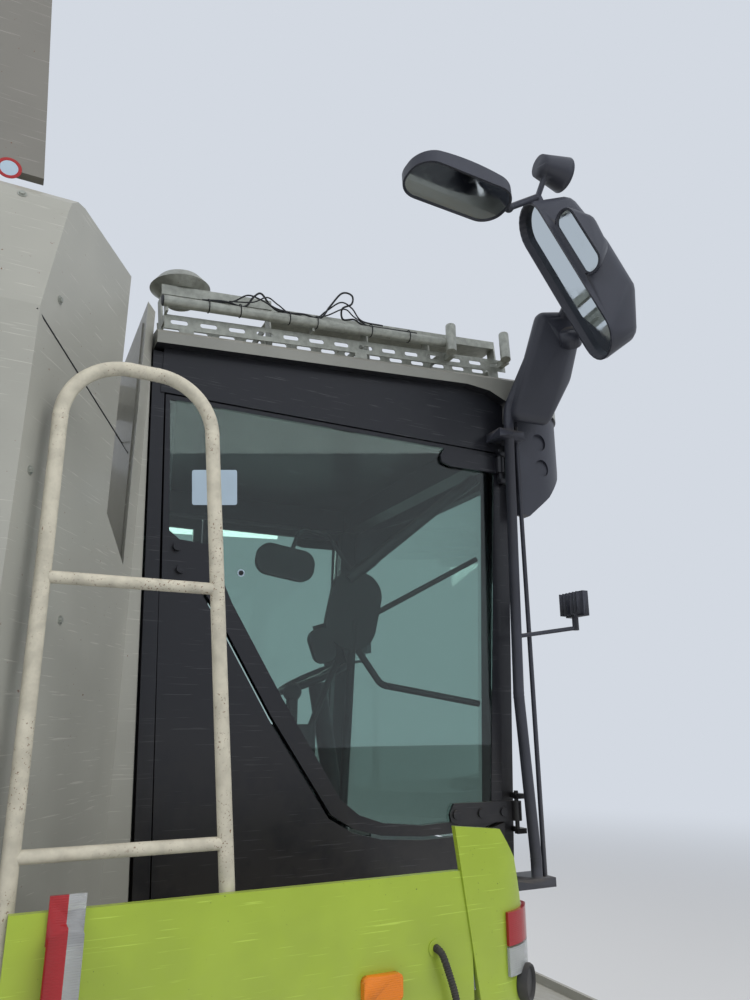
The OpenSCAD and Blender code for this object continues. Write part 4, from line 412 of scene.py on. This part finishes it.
class HARVESTER_OT_stage(bpy.types.Operator):
    """Sets the camera, the soft lamps, the backdrop and the floor"""
    bl_idname = "harvester.stage"
    bl_label = "Stage"

    def execute(self, context):
        scene = context.scene
        scene.view_settings.view_transform = "Standard"
        camera = bpy.data.objects.new("camera", bpy.data.cameras.new("camera"))
        scene.collection.objects.link(camera)
        camera.location = EYE
        camera.rotation_euler = EYE_TURN
        camera.data.sensor_width = SENSOR
        camera.data.lens = SENSOR * EYE_FOCAL / PHOTO_HEIGHT
        camera.data.clip_end = 200
        scene.camera = camera
        world = bpy.data.worlds.new("soft sky")
        scene.world = world
        world.use_nodes = True
        tree = world.node_tree
        tree.nodes.clear()
        path = add(tree, "ShaderNodeLightPath")
        seen = calculated(tree, "MAXIMUM", path.outputs["Is Camera Ray"],
                          calculated(tree, "MAXIMUM", path.outputs["Is Glossy Ray"],
                                     path.outputs["Is Transmission Ray"]))
        light = add(tree, "ShaderNodeBackground", inputs={"Color": linear("#F4F6FA"), "Strength": 0.45})
        backdrop = add(tree, "ShaderNodeBackground", inputs={"Color": tuple(paints().sky), "Strength": 1.0})
        blend = add(tree, "ShaderNodeMixShader",
                    inputs={0: seen, 1: light.outputs[0], 2: backdrop.outputs[0]})
        output = add(tree, "ShaderNodeOutputWorld")
        tree.links.new(blend.outputs[0], output.inputs["Surface"])
        # Columns: place, aim, width, power in watts
        for place, aim, width, power in (
                ((6.0, -9.0, 11.0), (1.5, 0, 2.5), 9.0, 950),
                ((-9.0, -6.0, 8.0), (-1.5, 0, 1.5), 8.0, 480),
                ((2.0, 9.0, 9.0), (0, 0, 2.0), 8.0, 580)):
            lamp = bpy.data.objects.new("soft lamp", bpy.data.lights.new("soft lamp", "AREA"))
            scene.collection.objects.link(lamp)
            lamp.data.size = width
            lamp.data.energy = power
            lamp.visible_glossy = False
            lamp.location = place
            lamp.rotation_euler = (Vector(aim) - Vector(place)).to_track_quat("-Z", "Y").to_euler()
        mesh = bpy.data.meshes.new("studio_floor")
        mesh.from_pydata([(-60, -60, 0), (60, -60, 0), (60, 60, 0), (-60, 60, 0)], [], [(0, 1, 2, 3)])
        floor = bpy.data.objects.new("studio_floor", mesh)
        scene.collection.objects.link(floor)
        material, tree, shader, place = new_material("matt studio paper", **{"Roughness": 0.9})
        shader.inputs["Base Color"].default_value = tuple(paints().floor)
        # Far off, the camera sees the paper curve up into the backdrop
        away = add(tree, "ShaderNodeVectorMath", {"operation": "LENGTH"}, {0: place}).outputs["Value"]
        far = add(tree, "ShaderNodeMapRange", {"interpolation_type": "SMOOTHSTEP"},
                  {"Value": away, "From Min": 7.0, "From Max": 22.0}).outputs[0]
        seen = calculated(tree, "MULTIPLY", far, add(tree, "ShaderNodeLightPath").outputs["Is Camera Ray"])
        backdrop = add(tree, "ShaderNodeEmission", None, {"Color": tuple(paints().sky), "Strength": 1.0})
        blend = add(tree, "ShaderNodeMixShader",
                    inputs={0: seen, 1: shader.outputs[0], 2: backdrop.outputs[0]})
        tree.links.new(blend.outputs[0], tree.get_output_node("ALL").inputs["Surface"])
        mesh.materials.append(material)
        return {"FINISHED"}


class HARVESTER_OT_finishes(bpy.types.Operator):
    """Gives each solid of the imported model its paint, glass or rubber"""
    bl_idname = "harvester.finishes"
    bl_label = "Finishes"

    def execute(self, context):
        for name, nodes in NODE_FINISH.items():
            for node in nodes:
                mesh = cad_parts[node].data
                mesh.materials.clear()
                mesh.materials.append(finish(name))
        return {"FINISHED"}


# Pieces

# The rack on the roof, as part.scad places it, and its near tube
RACK = Matrix.Translation((2.050, -0.860, 3.834)) @ Matrix.Rotation(math.radians(-5.6), 4, "Y")
RACK_TUBE_Y = -0.040
RACK_TUBE_RADIUS = 0.023
CABLE_SEAT = 0.0279


def rack_axis(x):
    """A place on the axis of the rack's near tube, in the rack's own frame."""
    return Vector((x, RACK_TUBE_Y, 0.102 - (x + 0.01) * 6 / 1370))


def new_piece(name, mesh, body, slot, *finishes, smooth=False):
    """Puts a mesh in the scene as a piece that rides on a body and takes the finishes named after the slot.
    The slot is not used.
    """
    mesh.name = name
    piece = bpy.data.objects.new(name, mesh)
    bpy.context.scene.collection.objects.link(piece)
    for each in finishes:
        mesh.materials.append(finish(each))
    if smooth:
        mesh.shade_smooth()
        mesh.set_sharp_from_angle(angle=math.radians(35))
    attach(piece, body)
    return piece


def meshed(work, name):
    """Turns a bmesh into a mesh with its normals outward."""
    bmesh.ops.recalc_face_normals(work, faces=work.faces)
    mesh = bpy.data.meshes.new(name)
    work.to_mesh(mesh)
    work.free()
    return mesh


def node_copy(*nodes):
    """The joined-up meshes of CAD nodes, in the machine's frame."""
    work = bmesh.new()
    for node in nodes:
        work.from_mesh(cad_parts[node].data)
    bmesh.ops.remove_doubles(work, verts=work.verts, dist=1e-5)
    return work


def surface(*nodes):
    """A ray tree of the named nodes together."""
    work = bmesh.new()
    for node in nodes:
        work.from_mesh(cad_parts[node].data)
    tree = BVHTree.FromBMesh(work)
    work.free()
    return tree


def hit(tree, start, direction, reach=6.0):
    """Where a ray meets a surface, and the normal there that looks back along the ray."""
    direction = Vector(direction).normalized()
    place, normal, _, _ = tree.ray_cast(Vector(start), direction, reach)
    if place is None:
        raise RuntimeError(f"no surface on the ray from {tuple(start)} along {tuple(direction)}")
    return place, -normal if normal.dot(direction) > 0 else normal


def sighted(tree, u, v):
    """The surface point behind a pixel of the photograph."""
    ray = Vector((u - PHOTO_WIDTH / 2, PHOTO_HEIGHT / 2 - v, -EYE_FOCAL))
    ray.rotate(EYE_TURN)
    return hit(tree, EYE, ray)


def islands(work):
    """The connected parts of a mesh, each as a list of faces."""
    seen, found = set(), []
    for face in work.faces:
        if face in seen:
            continue
        seen.add(face)
        waiting, part = [face], []
        while waiting:
            current = waiting.pop()
            part.append(current)
            for edge in current.edges:
                for other in edge.link_faces:
                    if other not in seen:
                        seen.add(other)
                        waiting.append(other)
        found.append(part)
    return found


def middle(faces):
    """The centre of the box round some faces."""
    points = [v.co for f in faces for v in f.verts]
    return Vector([(min(p[i] for p in points) + max(p[i] for p in points)) / 2 for i in range(3)])


def through(points, step):
    """A smooth curve through points, as places about step metres apart."""
    points = [Vector(p) for p in points]
    ends = [2 * points[0] - points[1]] + points + [2 * points[-1] - points[-2]]
    curve = []
    for a, b, c, d in zip(ends, ends[1:], ends[2:], ends[3:]):
        count = max(2, int((c - b).length / step))
        for i in range(count):
            t = i / count
            curve.append(0.5 * (2 * b + (c - a) * t + (2 * a - 5 * b + 4 * c - d) * t ** 2
                                + (3 * b - a - 3 * c + d) * t ** 3))
    return curve + [points[-1]]


def swept(work, path, radius, sides=10, rib=0.0):
    """Adds a tube along a path; rib is how far every second ring stands in."""
    rings = []
    side = (path[1] - path[0]).orthogonal().normalized()
    for i, place in enumerate(path):
        ahead = (path[min(i + 1, len(path) - 1)] - path[max(i - 1, 0)]).normalized()
        side = (side - side.dot(ahead) * ahead).normalized()
        other = ahead.cross(side)
        here = radius - (rib if i % 2 else 0.0)
        turns = [2 * math.pi * k / sides for k in range(sides)]
        rings.append([work.verts.new(place + here * (math.cos(a) * side + math.sin(a) * other))
                      for a in turns])
    for low, high in zip(rings, rings[1:]):
        for k in range(sides):
            work.faces.new((low[k], low[(k + 1) % sides], high[(k + 1) % sides], high[k]))
    work.faces.new(rings[0][::-1])
    work.faces.new(rings[-1])


def moulded_block(work, size, centre, edge, turn=None, segments=3):
    """Adds a block with rounded edges."""
    matrix = Matrix.Translation(centre) @ (turn or Matrix.Identity(4)) @ Matrix.Diagonal((*size, 1))
    made = bmesh.ops.create_cube(work, size=1.0, matrix=matrix)
    edges = list({e for v in made["verts"] for e in v.link_edges})
    bmesh.ops.bevel(work, geom=edges, offset=edge, segments=segments, affect="EDGES", profile=0.5)


def turned(work, profile, place, facing, sides=24):
    """Adds a body turned from a profile of radius and height, standing on a place and facing away from it."""
    turn = Vector(facing).to_track_quat("Z", "Y")
    rings = []
    for radius, height in profile:
        angles = [2 * math.pi * k / sides for k in range(sides)]
        circle = [Vector((radius * math.cos(a), radius * math.sin(a), height)) for a in angles]
        rings.append([work.verts.new(Vector(place) + turn @ point) for point in circle])
    for low, high in zip(rings, rings[1:]):
        for k in range(sides):
            work.faces.new((low[k], low[(k + 1) % sides], high[(k + 1) % sides], high[k]))
    work.faces.new(rings[0][::-1])
    work.faces.new(rings[-1])


def heads_tree():
    """A Geometry Nodes tree that sets a head with a washer on each point, along the point's facing."""
    tree = bpy.data.node_groups.new("heads on points", "GeometryNodeTree")
    for name, kind in (("Geometry", "NodeSocketGeometry"), ("Width", "NodeSocketFloat"),
                       ("Height", "NodeSocketFloat"), ("Washer", "NodeSocketFloat"),
                       ("Sides", "NodeSocketInt"), ("Finish", "NodeSocketMaterial")):
        tree.interface.new_socket(name=name, in_out="INPUT", socket_type=kind)
    tree.interface.new_socket(name="Geometry", in_out="OUTPUT", socket_type="NodeSocketGeometry")
    given = add(tree, "NodeGroupInput").outputs
    radius, tip, flange, thin = (
        add(tree, "ShaderNodeMath", {"operation": "MULTIPLY"}, {0: a, 1: b}).outputs[0]
        for a, b in ((given["Width"], 0.5), (given["Width"], 0.43), (given["Width"], given["Washer"]),
                     (given["Height"], 0.22)))
    head = add(tree, "GeometryNodeMeshCone", None, {
        "Vertices": given["Sides"], "Radius Top": tip, "Radius Bottom": radius, "Depth": given["Height"]})
    washer = add(tree, "GeometryNodeMeshCone", None, {
        "Vertices": 16, "Radius Top": flange, "Radius Bottom": flange, "Depth": thin})
    both = add(tree, "GeometryNodeJoinGeometry")
    tree.links.new(head.outputs["Mesh"], both.inputs[0])
    tree.links.new(washer.outputs["Mesh"], both.inputs[0])
    facing = add(tree, "GeometryNodeInputNamedAttribute", {"data_type": "FLOAT_VECTOR"}, {"Name": "facing"})
    turn = add(tree, "FunctionNodeAlignRotationToVector", {"axis": "Z"},
               {"Vector": facing.outputs["Attribute"]})
    placed = add(tree, "GeometryNodeInstanceOnPoints", None, {
        "Points": given["Geometry"], "Instance": both.outputs[0], "Rotation": turn.outputs[0]})
    real = add(tree, "GeometryNodeRealizeInstances", None, {0: placed.outputs[0]})
    coated = add(tree, "GeometryNodeSetMaterial",
                 inputs={"Geometry": real.outputs[0], "Material": given["Finish"]})
    tree.links.new(coated.outputs[0], add(tree, "NodeGroupOutput").inputs[0])
    return tree


def heads(name, points, body, slot, coat, width, height, washer=0.72, sides=6):
    """A piece with a head on each of some points, which are pairs of place and facing."""
    mesh = bpy.data.meshes.new(name)
    mesh.from_pydata([p for p, _ in points], [], [])
    facing = mesh.attributes.new("facing", "FLOAT_VECTOR", "POINT")
    facing.data.foreach_set("vector", [c for _, n in points for c in n])
    carrier = bpy.data.objects.new("points", mesh)
    bpy.context.scene.collection.objects.link(carrier)
    tree = bpy.data.node_groups.get("heads on points") or heads_tree()
    modifier = carrier.modifiers.new("heads", "NODES")
    modifier.node_group = tree
    values = {"Width": width, "Height": height, "Washer": washer, "Sides": sides, "Finish": finish(coat)}
    for item in tree.interface.items_tree:
        if item.in_out == "INPUT" and item.name in values:
            modifier[item.identifier] = values[item.name]
    ready = carrier.evaluated_get(bpy.context.evaluated_depsgraph_get())
    result = bpy.data.meshes.new_from_object(ready)
    bpy.data.objects.remove(carrier)
    if not result.polygons:
        raise RuntimeError(f"no heads were made for {name}")
    return new_piece(name, result, body, slot)


def row(tree, first, last, count, direction):
    """Surface points under an even row of rays, without those that pass an opening."""
    first, last = Vector(first), Vector(last)
    found = []
    for i in range(count):
        place, normal, _, _ = tree.ray_cast(first.lerp(last, i / max(1, count - 1)), Vector(direction), 2.0)
        if place is not None:
            found.append((place, -normal if normal.dot(Vector(direction)) > 0 else normal))
    if not found:
        raise RuntimeError(f"all rays of the row from {tuple(first)} miss")
    return found


class HARVESTER_OT_wiring(bpy.types.Operator):
    """Replaces the plain conduit and cable by ribbed hose and tangled, tied wiring"""
    bl_idname = "harvester.wiring"
    bl_label = "Wiring"

    def execute(self, context):
        s = sizes()
        work = bmesh.new()
        # Route of part.scad's conduit: out of the grommet, down the skirt and in again under it
        hose = through([(2.826, -1.601, 1.676), (2.826, -1.625, 1.676), (2.829, -1.646, 1.668),
                        (2.840, -1.651, 1.640), (2.868, -1.651, 1.560), (2.876, -1.651, 1.500),
                        (2.884, -1.650, 1.420),
                        (2.884, -1.640, 1.392), (2.884, -1.601, 1.381)], s.hose_pitch / 2)
        swept(work, hose, s.hose / 2, 12, s.hose * 0.09)
        # Each place: distance along the rack's tube, height over it, and how far it lies towards the middle
        main = [(0.15, 0, 0), (0.24, 0.004, -0.010), (0.33, 0, 0), (0.37, 0.045, -0.014), (0.41, 0.075, 0),
                (0.455, 0.035, 0.016), (0.50, 0, 0), (0.60, 0.003, -0.008), (0.68, 0, 0),
                (0.74, 0.075, 0.012),
                (0.80, 0.145, 0), (0.84, 0.130, -0.02), (0.83, 0.080, -0.03), (0.79, 0.060, -0.01),
                (0.80, 0.020, 0.012), (0.86, 0.030, 0.016), (0.90, 0, 0), (1.04, 0.004, 0.008), (1.18, 0, 0)]
        second = [(0.20, 0.004, 0.016), (0.29, 0.030, 0.024), (0.35, 0.060, 0.006), (0.40, 0.030, -0.024),
                  (0.47, 0.004, -0.018), (0.56, 0.014, 0.018), (0.66, 0.004, 0.022), (0.72, 0.050, 0.020),
                  (0.78, 0.085, -0.020), (0.83, 0.060, -0.028), (0.88, 0.010, -0.018), (0.99, 0.004, -0.014)]
        third = [(0.26, 0.002, -0.020), (0.36, 0.012, -0.026), (0.43, 0.052, -0.016), (0.49, 0.046, 0.018),
                 (0.57, 0.006, 0.024), (0.69, 0.002, -0.020), (0.79, 0.050, -0.026), (0.86, 0.042, 0.014),
                 (0.94, 0.002, 0.018)]
        for route, width in ((main, s.cable), (second, s.cable * 0.8), (third, s.cable * 0.7)):
            places = [RACK @ (rack_axis(x) + Vector((0, front, CABLE_SEAT + up))) for x, up, front in route]
            swept(work, through(places, 0.008), width / 2, 8)
        # Ties round the tube and the cables
        for x in (0.175, 0.31, 0.53, 0.66, 0.93, 1.13):
            ring = [RACK @ (rack_axis(x) + Vector((0, math.cos(a), math.sin(a)))
                            * (RACK_TUBE_RADIUS + 0.0015 + 0.0085 * max(0, math.sin(a))))
                    for a in (2 * math.pi * k / 24 for k in range(25))]
            swept(work, ring, 0.0022, 6)
        piece = new_piece("wiring_harness", meshed(work, "wiring_harness"), "machine", "belt_rubber",
                          "ribbed polyamide", smooth=True)
        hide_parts("wiring")
        return {"FINISHED"}


class HARVESTER_OT_lamps(bpy.types.Operator):
    """Gives each lamp its own lens colour and its bracket a plated finish"""
    bl_idname = "harvester.lamps"
    bl_label = "Lamps"

    def execute(self, context):
        work = node_copy("lamps")
        # The upright lamp is cut in two halves, red and clear
        split_x = 1.826
        upright = [f for f in work.faces
                   if f.calc_center_median().y < -1.55 and 1.7 < f.calc_center_median().x < 1.9]
        near = {v for f in upright for v in f.verts}
        bmesh.ops.bisect_plane(work, geom=[*upright, *near, *{e for f in upright for e in f.edges}],
                               plane_co=(split_x, 0, 0), plane_no=(1, 0, 0))
        coats = ["amber lens", "red lens", "clear lens", "zinc plate", "black moulding"]
        for part in islands(work):
            x, y, z = middle(part)
            if x < -4.0:
                coat = 1
            elif y < -1.55 and 2.5 < x < 2.8:
                coat = 0
            elif y < -1.55 and 1.77 < x < 1.88:
                coat = 3 if z > 1.76 else 1
            elif z > 1.65 and 2.9 < x < 3.2:
                coat = 1
            else:
                coat = 2
            for face in part:
                face.material_index = coat
                if y < -1.55 and 1.70 < x < 1.90 and coat == 1 and face.calc_center_median().x > split_x:
                    face.material_index = 2
        piece = new_piece("lamp_lenses", meshed(work, "lamp_lenses"), "machine", "lamp_lens", *coats)
        piece.data.shade_smooth()
        piece.data.set_sharp_from_angle(angle=math.radians(30))
        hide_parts("lamps")
        # Round black lamp low on the pod
        work = bmesh.new()
        pod = surface("side_skirts")
        place, facing = hit(pod, (3.148, -2.4, 1.542), (0, 1, 0))
        turned(work, [(0.050, -0.004), (0.052, 0.020), (0.048, 0.027), (0.043, 0.024), (0.040, 0.018),
                      (0.020, 0.020), (0.004, 0.021)], place, facing, 36)
        new_piece("pod_lamp", meshed(work, "pod_lamp"), "machine", "trim_plastic", "black moulding",
                  smooth=True)
        return {"FINISHED"}


class HARVESTER_OT_mirrors(bpy.types.Operator):
    """Smooths the moulded mirror housings"""
    bl_idname = "harvester.mirrors"
    bl_label = "Mirrors"

    def execute(self, context):
        work = node_copy("mirrors")
        piece = new_piece("mirror_housings", meshed(work, "mirror_housings"), "machine", "mirror_shell",
                          "mirror shell", smooth=True)
        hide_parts("mirrors")
        return {"FINISHED"}


class HARVESTER_OT_bolts(bpy.types.Operator):
    """Sets bolt heads on the panels, brackets and decks, and grip studs on the platforms"""
    bl_idname = "harvester.bolts"
    bl_label = "Bolts and studs"

    def execute(self, context):
        s = sizes()
        right, left = (0, 1, 0), (0, -1, 0)
        tank = surface("grain_tank")
        hood, straw = surface("engine_hood"), surface("straw_hood")
        skirts, feeder = surface("side_skirts"), surface("feeder_house")
        zinc, dark, tilting = [], [], []
        # Grain tank: rows along its rim and its lower edge
        for y, way in ((-2.2, right), (2.2, left)):
            zinc += row(tank, (-0.74, y, 3.80), (1.50, y, 3.80), 8, way)
            zinc += row(tank, (-0.74, y, 2.06), (1.50, y, 2.06), 8, way)
            zinc += row(hood, (-3.10, y, 2.46), (-1.05, y, 2.46), 7, way)
            zinc += row(straw, (-4.20, y, 2.30), (-3.42, y, 2.30), 3, way)
            dark += row(skirts, (1.80, y, 1.48), (2.60, y, 1.48), 4, way)
            tilting += row(feeder, (2.40, y, 0.86), (3.90, y, 0.52), 7, way)
        zinc += row(straw, (-5.2, -1.0, 2.05), (-5.2, 1.0, 2.05), 6, (1, 0, 0))
        zinc += [sighted(tank, u, v) for u, v in ((60, 300), (30, 470), (60, 620))]
        heads("panel_bolts", zinc, "machine", "rack_metal", "zinc plate", s.bolt, s.bolt * 0.42)
        heads("dark_bolts", dark, "machine", "dark_steel", "black enamel", s.bolt, s.bolt * 0.40)
        heads("feeder_bolts", tilting, "feeder", "dark_steel", "black enamel", s.bolt, s.bolt * 0.40)
        studs, deck = [], surface("platforms")
        pitch = s.stud_pitch
        for side in (-1, 1):
            for i in range(int(1.28 / pitch)):
                for j in range(int(0.56 / pitch)):
                    start = (1.745 + pitch * i, side * (0.94 + pitch * (j + (i % 2) / 2)), 1.9)
                    place, facing = deck.ray_cast(Vector(start), Vector((0, 0, -1)), 0.4)[:2]
                    if place is not None and place.z > 1.69:
                        studs.append((place, facing))
        heads("grip_studs", studs, "machine", "chassis", "chassis paint", s.stud, s.stud * 0.3, 0.52, 8)
        return {"FINISHED"}


class HARVESTER_OT_trim(bpy.types.Operator):
    """Adds the window's blank label and ring, the blank round sign, the tank's seam and the tube plugs"""
    bl_idname = "harvester.trim"
    bl_label = "Trim"

    def execute(self, context):
        window = surface("window_glass_right")
        corners = [sighted(window, u, v)[0] for u, v in ((192, 470), (237, 470), (237, 505), (192, 505))]
        work = bmesh.new()
        out = Vector((0, -1, 0))
        low = [work.verts.new(p - out * 0.0005) for p in corners]
        high = [work.verts.new(p + out * 0.0012) for p in corners]
        work.faces.new(high)
        work.faces.new(low[::-1])
        for k in range(4):
            work.faces.new((low[k], low[(k + 1) % 4], high[(k + 1) % 4], high[k]))
        bmesh.ops.bevel(work, geom=[e for e in work.edges if abs((e.verts[0].co - e.verts[1].co).y) > 0.001],
                        offset=0.008, segments=4, affect="EDGES", profile=0.5)
        place, _ = sighted(window, 241, 573)
        turned(work, [(0.014, -0.0005), (0.014, 0.0012), (0.010, 0.0014), (0.010, -0.0005)], place, out, 32)
        new_piece("window_label", meshed(work, "window_label"), "window_right", "trim_plastic", "pale film")
        lid = surface("tank_lid_right")
        place, facing = sighted(lid, 9, 168)
        work = bmesh.new()
        turned(work, [(0.036, -0.0006), (0.036, 0.0018), (0.027, 0.0020), (0.026, 0.0012)], place, facing, 36)
        bmesh.ops.recalc_face_normals(work, faces=work.faces)
        for face in work.faces:
            face.material_index = int((face.calc_center_median() - place).length < 0.02)
        new_piece("lid_sign", meshed(work, "lid_sign"), "tank_lid_right", "trim_plastic",
                  "red film", "pale film")
        # Sealed seam that runs down across the tank's corner panel
        tank = surface("grain_tank")
        seam = [sighted(tank, 37 + 91 * i / 14, 308 + 145 * i / 14)[0] for i in range(15)]
        work = bmesh.new()
        swept(work, seam, 0.0028, 6)
        new_piece("tank_seam", meshed(work, "tank_seam"), "machine", "trim_plastic", "black moulding",
                  smooth=True)
        # Dark plugs in the ends of the rack's tube
        work = bmesh.new()
        for x, way in ((-0.010, -1), (1.360, 1)):
            turned(work, [(0.0195, -0.010), (0.0228, 0.0), (0.0228, 0.004), (0.0180, 0.006)],
                   RACK @ rack_axis(x), RACK.to_3x3() @ Vector((way, 0, 0)), 28)
        new_piece("tube_plugs", meshed(work, "tube_plugs"), "machine", "trim_plastic", "black moulding",
                  smooth=True)
        return {"FINISHED"}


class HARVESTER_OT_seat(bpy.types.Operator):
    """Replaces the plain seat by padded cushions on a moulded base"""
    bl_idname = "harvester.seat"
    bl_label = "Seat"

    def execute(self, context):
        floor = Vector((2.480, 0.0, 1.7203))
        lean = Matrix.Rotation(math.radians(-8), 4, "Y")
        work = bmesh.new()
        moulded_block(work, (0.42, 0.42, 0.06), floor + Vector((0, 0, 0.03)), 0.02)
        turned(work, [(0.150, 0.055), (0.146, 0.10), (0.134, 0.12), (0.142, 0.15), (0.134, 0.18),
                      (0.142, 0.21), (0.134, 0.24), (0.142, 0.27), (0.134, 0.30), (0.148, 0.32),
                      (0.150, 0.345)], floor, (0, 0, 1), 40)
        moulded_block(work, (0.50, 0.50, 0.03), floor + Vector((0.02, 0, 0.352)), 0.012)
        for y in (-0.07, 0.07):
            swept(work, through([floor + Vector((-0.215, y, 0.40)) + lean @ Vector((-0.03, 0, h))
                                 for h in (0.50, 0.62, 0.74)], 0.02), 0.008, 12)
        moulded_block(work, (0.035, 0.40, 0.50),
                      floor + Vector((-0.285, 0, 0.42)) + lean @ Vector((0, 0, 0.28)), 0.014, lean)
        base = new_piece("seat_base", meshed(work, "seat_base"), "machine", "trim_plastic", "black moulding",
                         smooth=True)
        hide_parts("cab_seat")
        for name, size, centre, turn, channels in (
                ("seat_cushion", (0.50, 0.50, 0.125), floor + Vector((0.02, 0, 0.425)),
                 Matrix.Identity(4), (-0.15, 0.15)),
                ("seat_back", (0.105, 0.47, 0.61),
                 floor + Vector((-0.225, 0, 0.40)) + lean @ Vector((0, 0, 0.33)), lean, (-0.14, 0.14)),
                ("seat_headrest", (0.085, 0.27, 0.18), floor + Vector((-0.33, 0, 1.15)), lean, ())):
            piece = padded(name, size, Matrix.Translation(centre) @ turn, channels)
        return {"FINISHED"}


def padded(name, size, placed, channels):
    """A cushion blown up by cloth pressure from a smaller block, with sewn channels pressed in after."""
    swell = 0.012
    work = bmesh.new()
    moulded_block(work, [s - 2 * swell for s in size], (0, 0, 0), min(size) * 0.28, segments=4)
    block = bpy.data.objects.new(name, meshed(work, name))
    bpy.context.scene.collection.objects.link(block)

    def applied():
        ready = block.evaluated_get(bpy.context.evaluated_depsgraph_get())
        block.data = bpy.data.meshes.new_from_object(ready)
        block.modifiers.clear()

    remesh = block.modifiers.new("remesh", "REMESH")
    remesh.mode = "VOXEL"
    remesh.voxel_size = 0.006
    applied()
    rest = [v.co.copy() for v in block.data.vertices]
    cloth = block.modifiers.new("cloth", "CLOTH")
    cloth.settings.use_pressure = True
    cloth.settings.uniform_pressure_force = 4
    cloth.settings.effector_weights.gravity = 0
    for number in range(1, 21):
        bpy.context.scene.frame_set(number)
    applied()
    bpy.context.scene.frame_set(1)
    for vertex, start in zip(block.data.vertices, rest):
        moved = vertex.co - start
        if moved.length > swell:
            vertex.co = start + moved.normalized() * swell
    smooth = block.modifiers.new("smooth", "SUBSURF")
    smooth.levels = 1
    applied()
    thin = min(range(3), key=lambda i: size[i])
    for vertex in block.data.vertices:
        for line in channels:
            press = 0.010 * math.exp(-((vertex.co.y - line) / 0.006) ** 2)
            vertex.co[thin] -= math.copysign(press, vertex.co[thin])
    mesh = block.data
    mesh.transform(placed)
    bpy.data.objects.remove(block)
    piece = new_piece(name, mesh, "machine", "seat_fabric", "woven fabric")
    mesh.shade_smooth()
    return piece


OPERATORS = (HARVESTER_OT_stage, HARVESTER_OT_wiring, HARVESTER_OT_finishes, HARVESTER_OT_lamps,
             HARVESTER_OT_mirrors, HARVESTER_OT_bolts, HARVESTER_OT_trim, HARVESTER_OT_seat)
GROUPS = (HarvesterColours, HarvesterSizes)


class HARVESTER_PT_panel(bpy.types.Panel):
    """Lists the steps that dress the machine"""
    bl_idname = "HARVESTER_PT_panel"
    bl_label = "Harvester"
    bl_space_type = "VIEW_3D"
    bl_region_type = "UI"
    bl_category = "Harvester"

    def draw(self, context):
        for step in OPERATORS:
            self.layout.operator(step.bl_idname)
        for group in (context.scene.harvester_colours, context.scene.harvester_sizes):
            for key in group.bl_rna.properties.keys():
                if key not in ("rna_type", "name"):
                    self.layout.prop(group, key)


def register():
    for cls in GROUPS + OPERATORS + (HARVESTER_PT_panel,):
        bpy.utils.register_class(cls)
    bpy.types.Scene.harvester_colours = bpy.props.PointerProperty(type=HarvesterColours)
    bpy.types.Scene.harvester_sizes = bpy.props.PointerProperty(type=HarvesterSizes)


def unregister():
    del bpy.types.Scene.harvester_sizes
    del bpy.types.Scene.harvester_colours
    for cls in reversed(GROUPS + OPERATORS + (HARVESTER_PT_panel,)):
        bpy.utils.unregister_class(cls)


def main():
    register()
    for step in OPERATORS:
        group, name = step.bl_idname.split(".")
        getattr(getattr(bpy.ops, group), name)()
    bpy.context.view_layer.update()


if __name__ == "__main__":
    main()
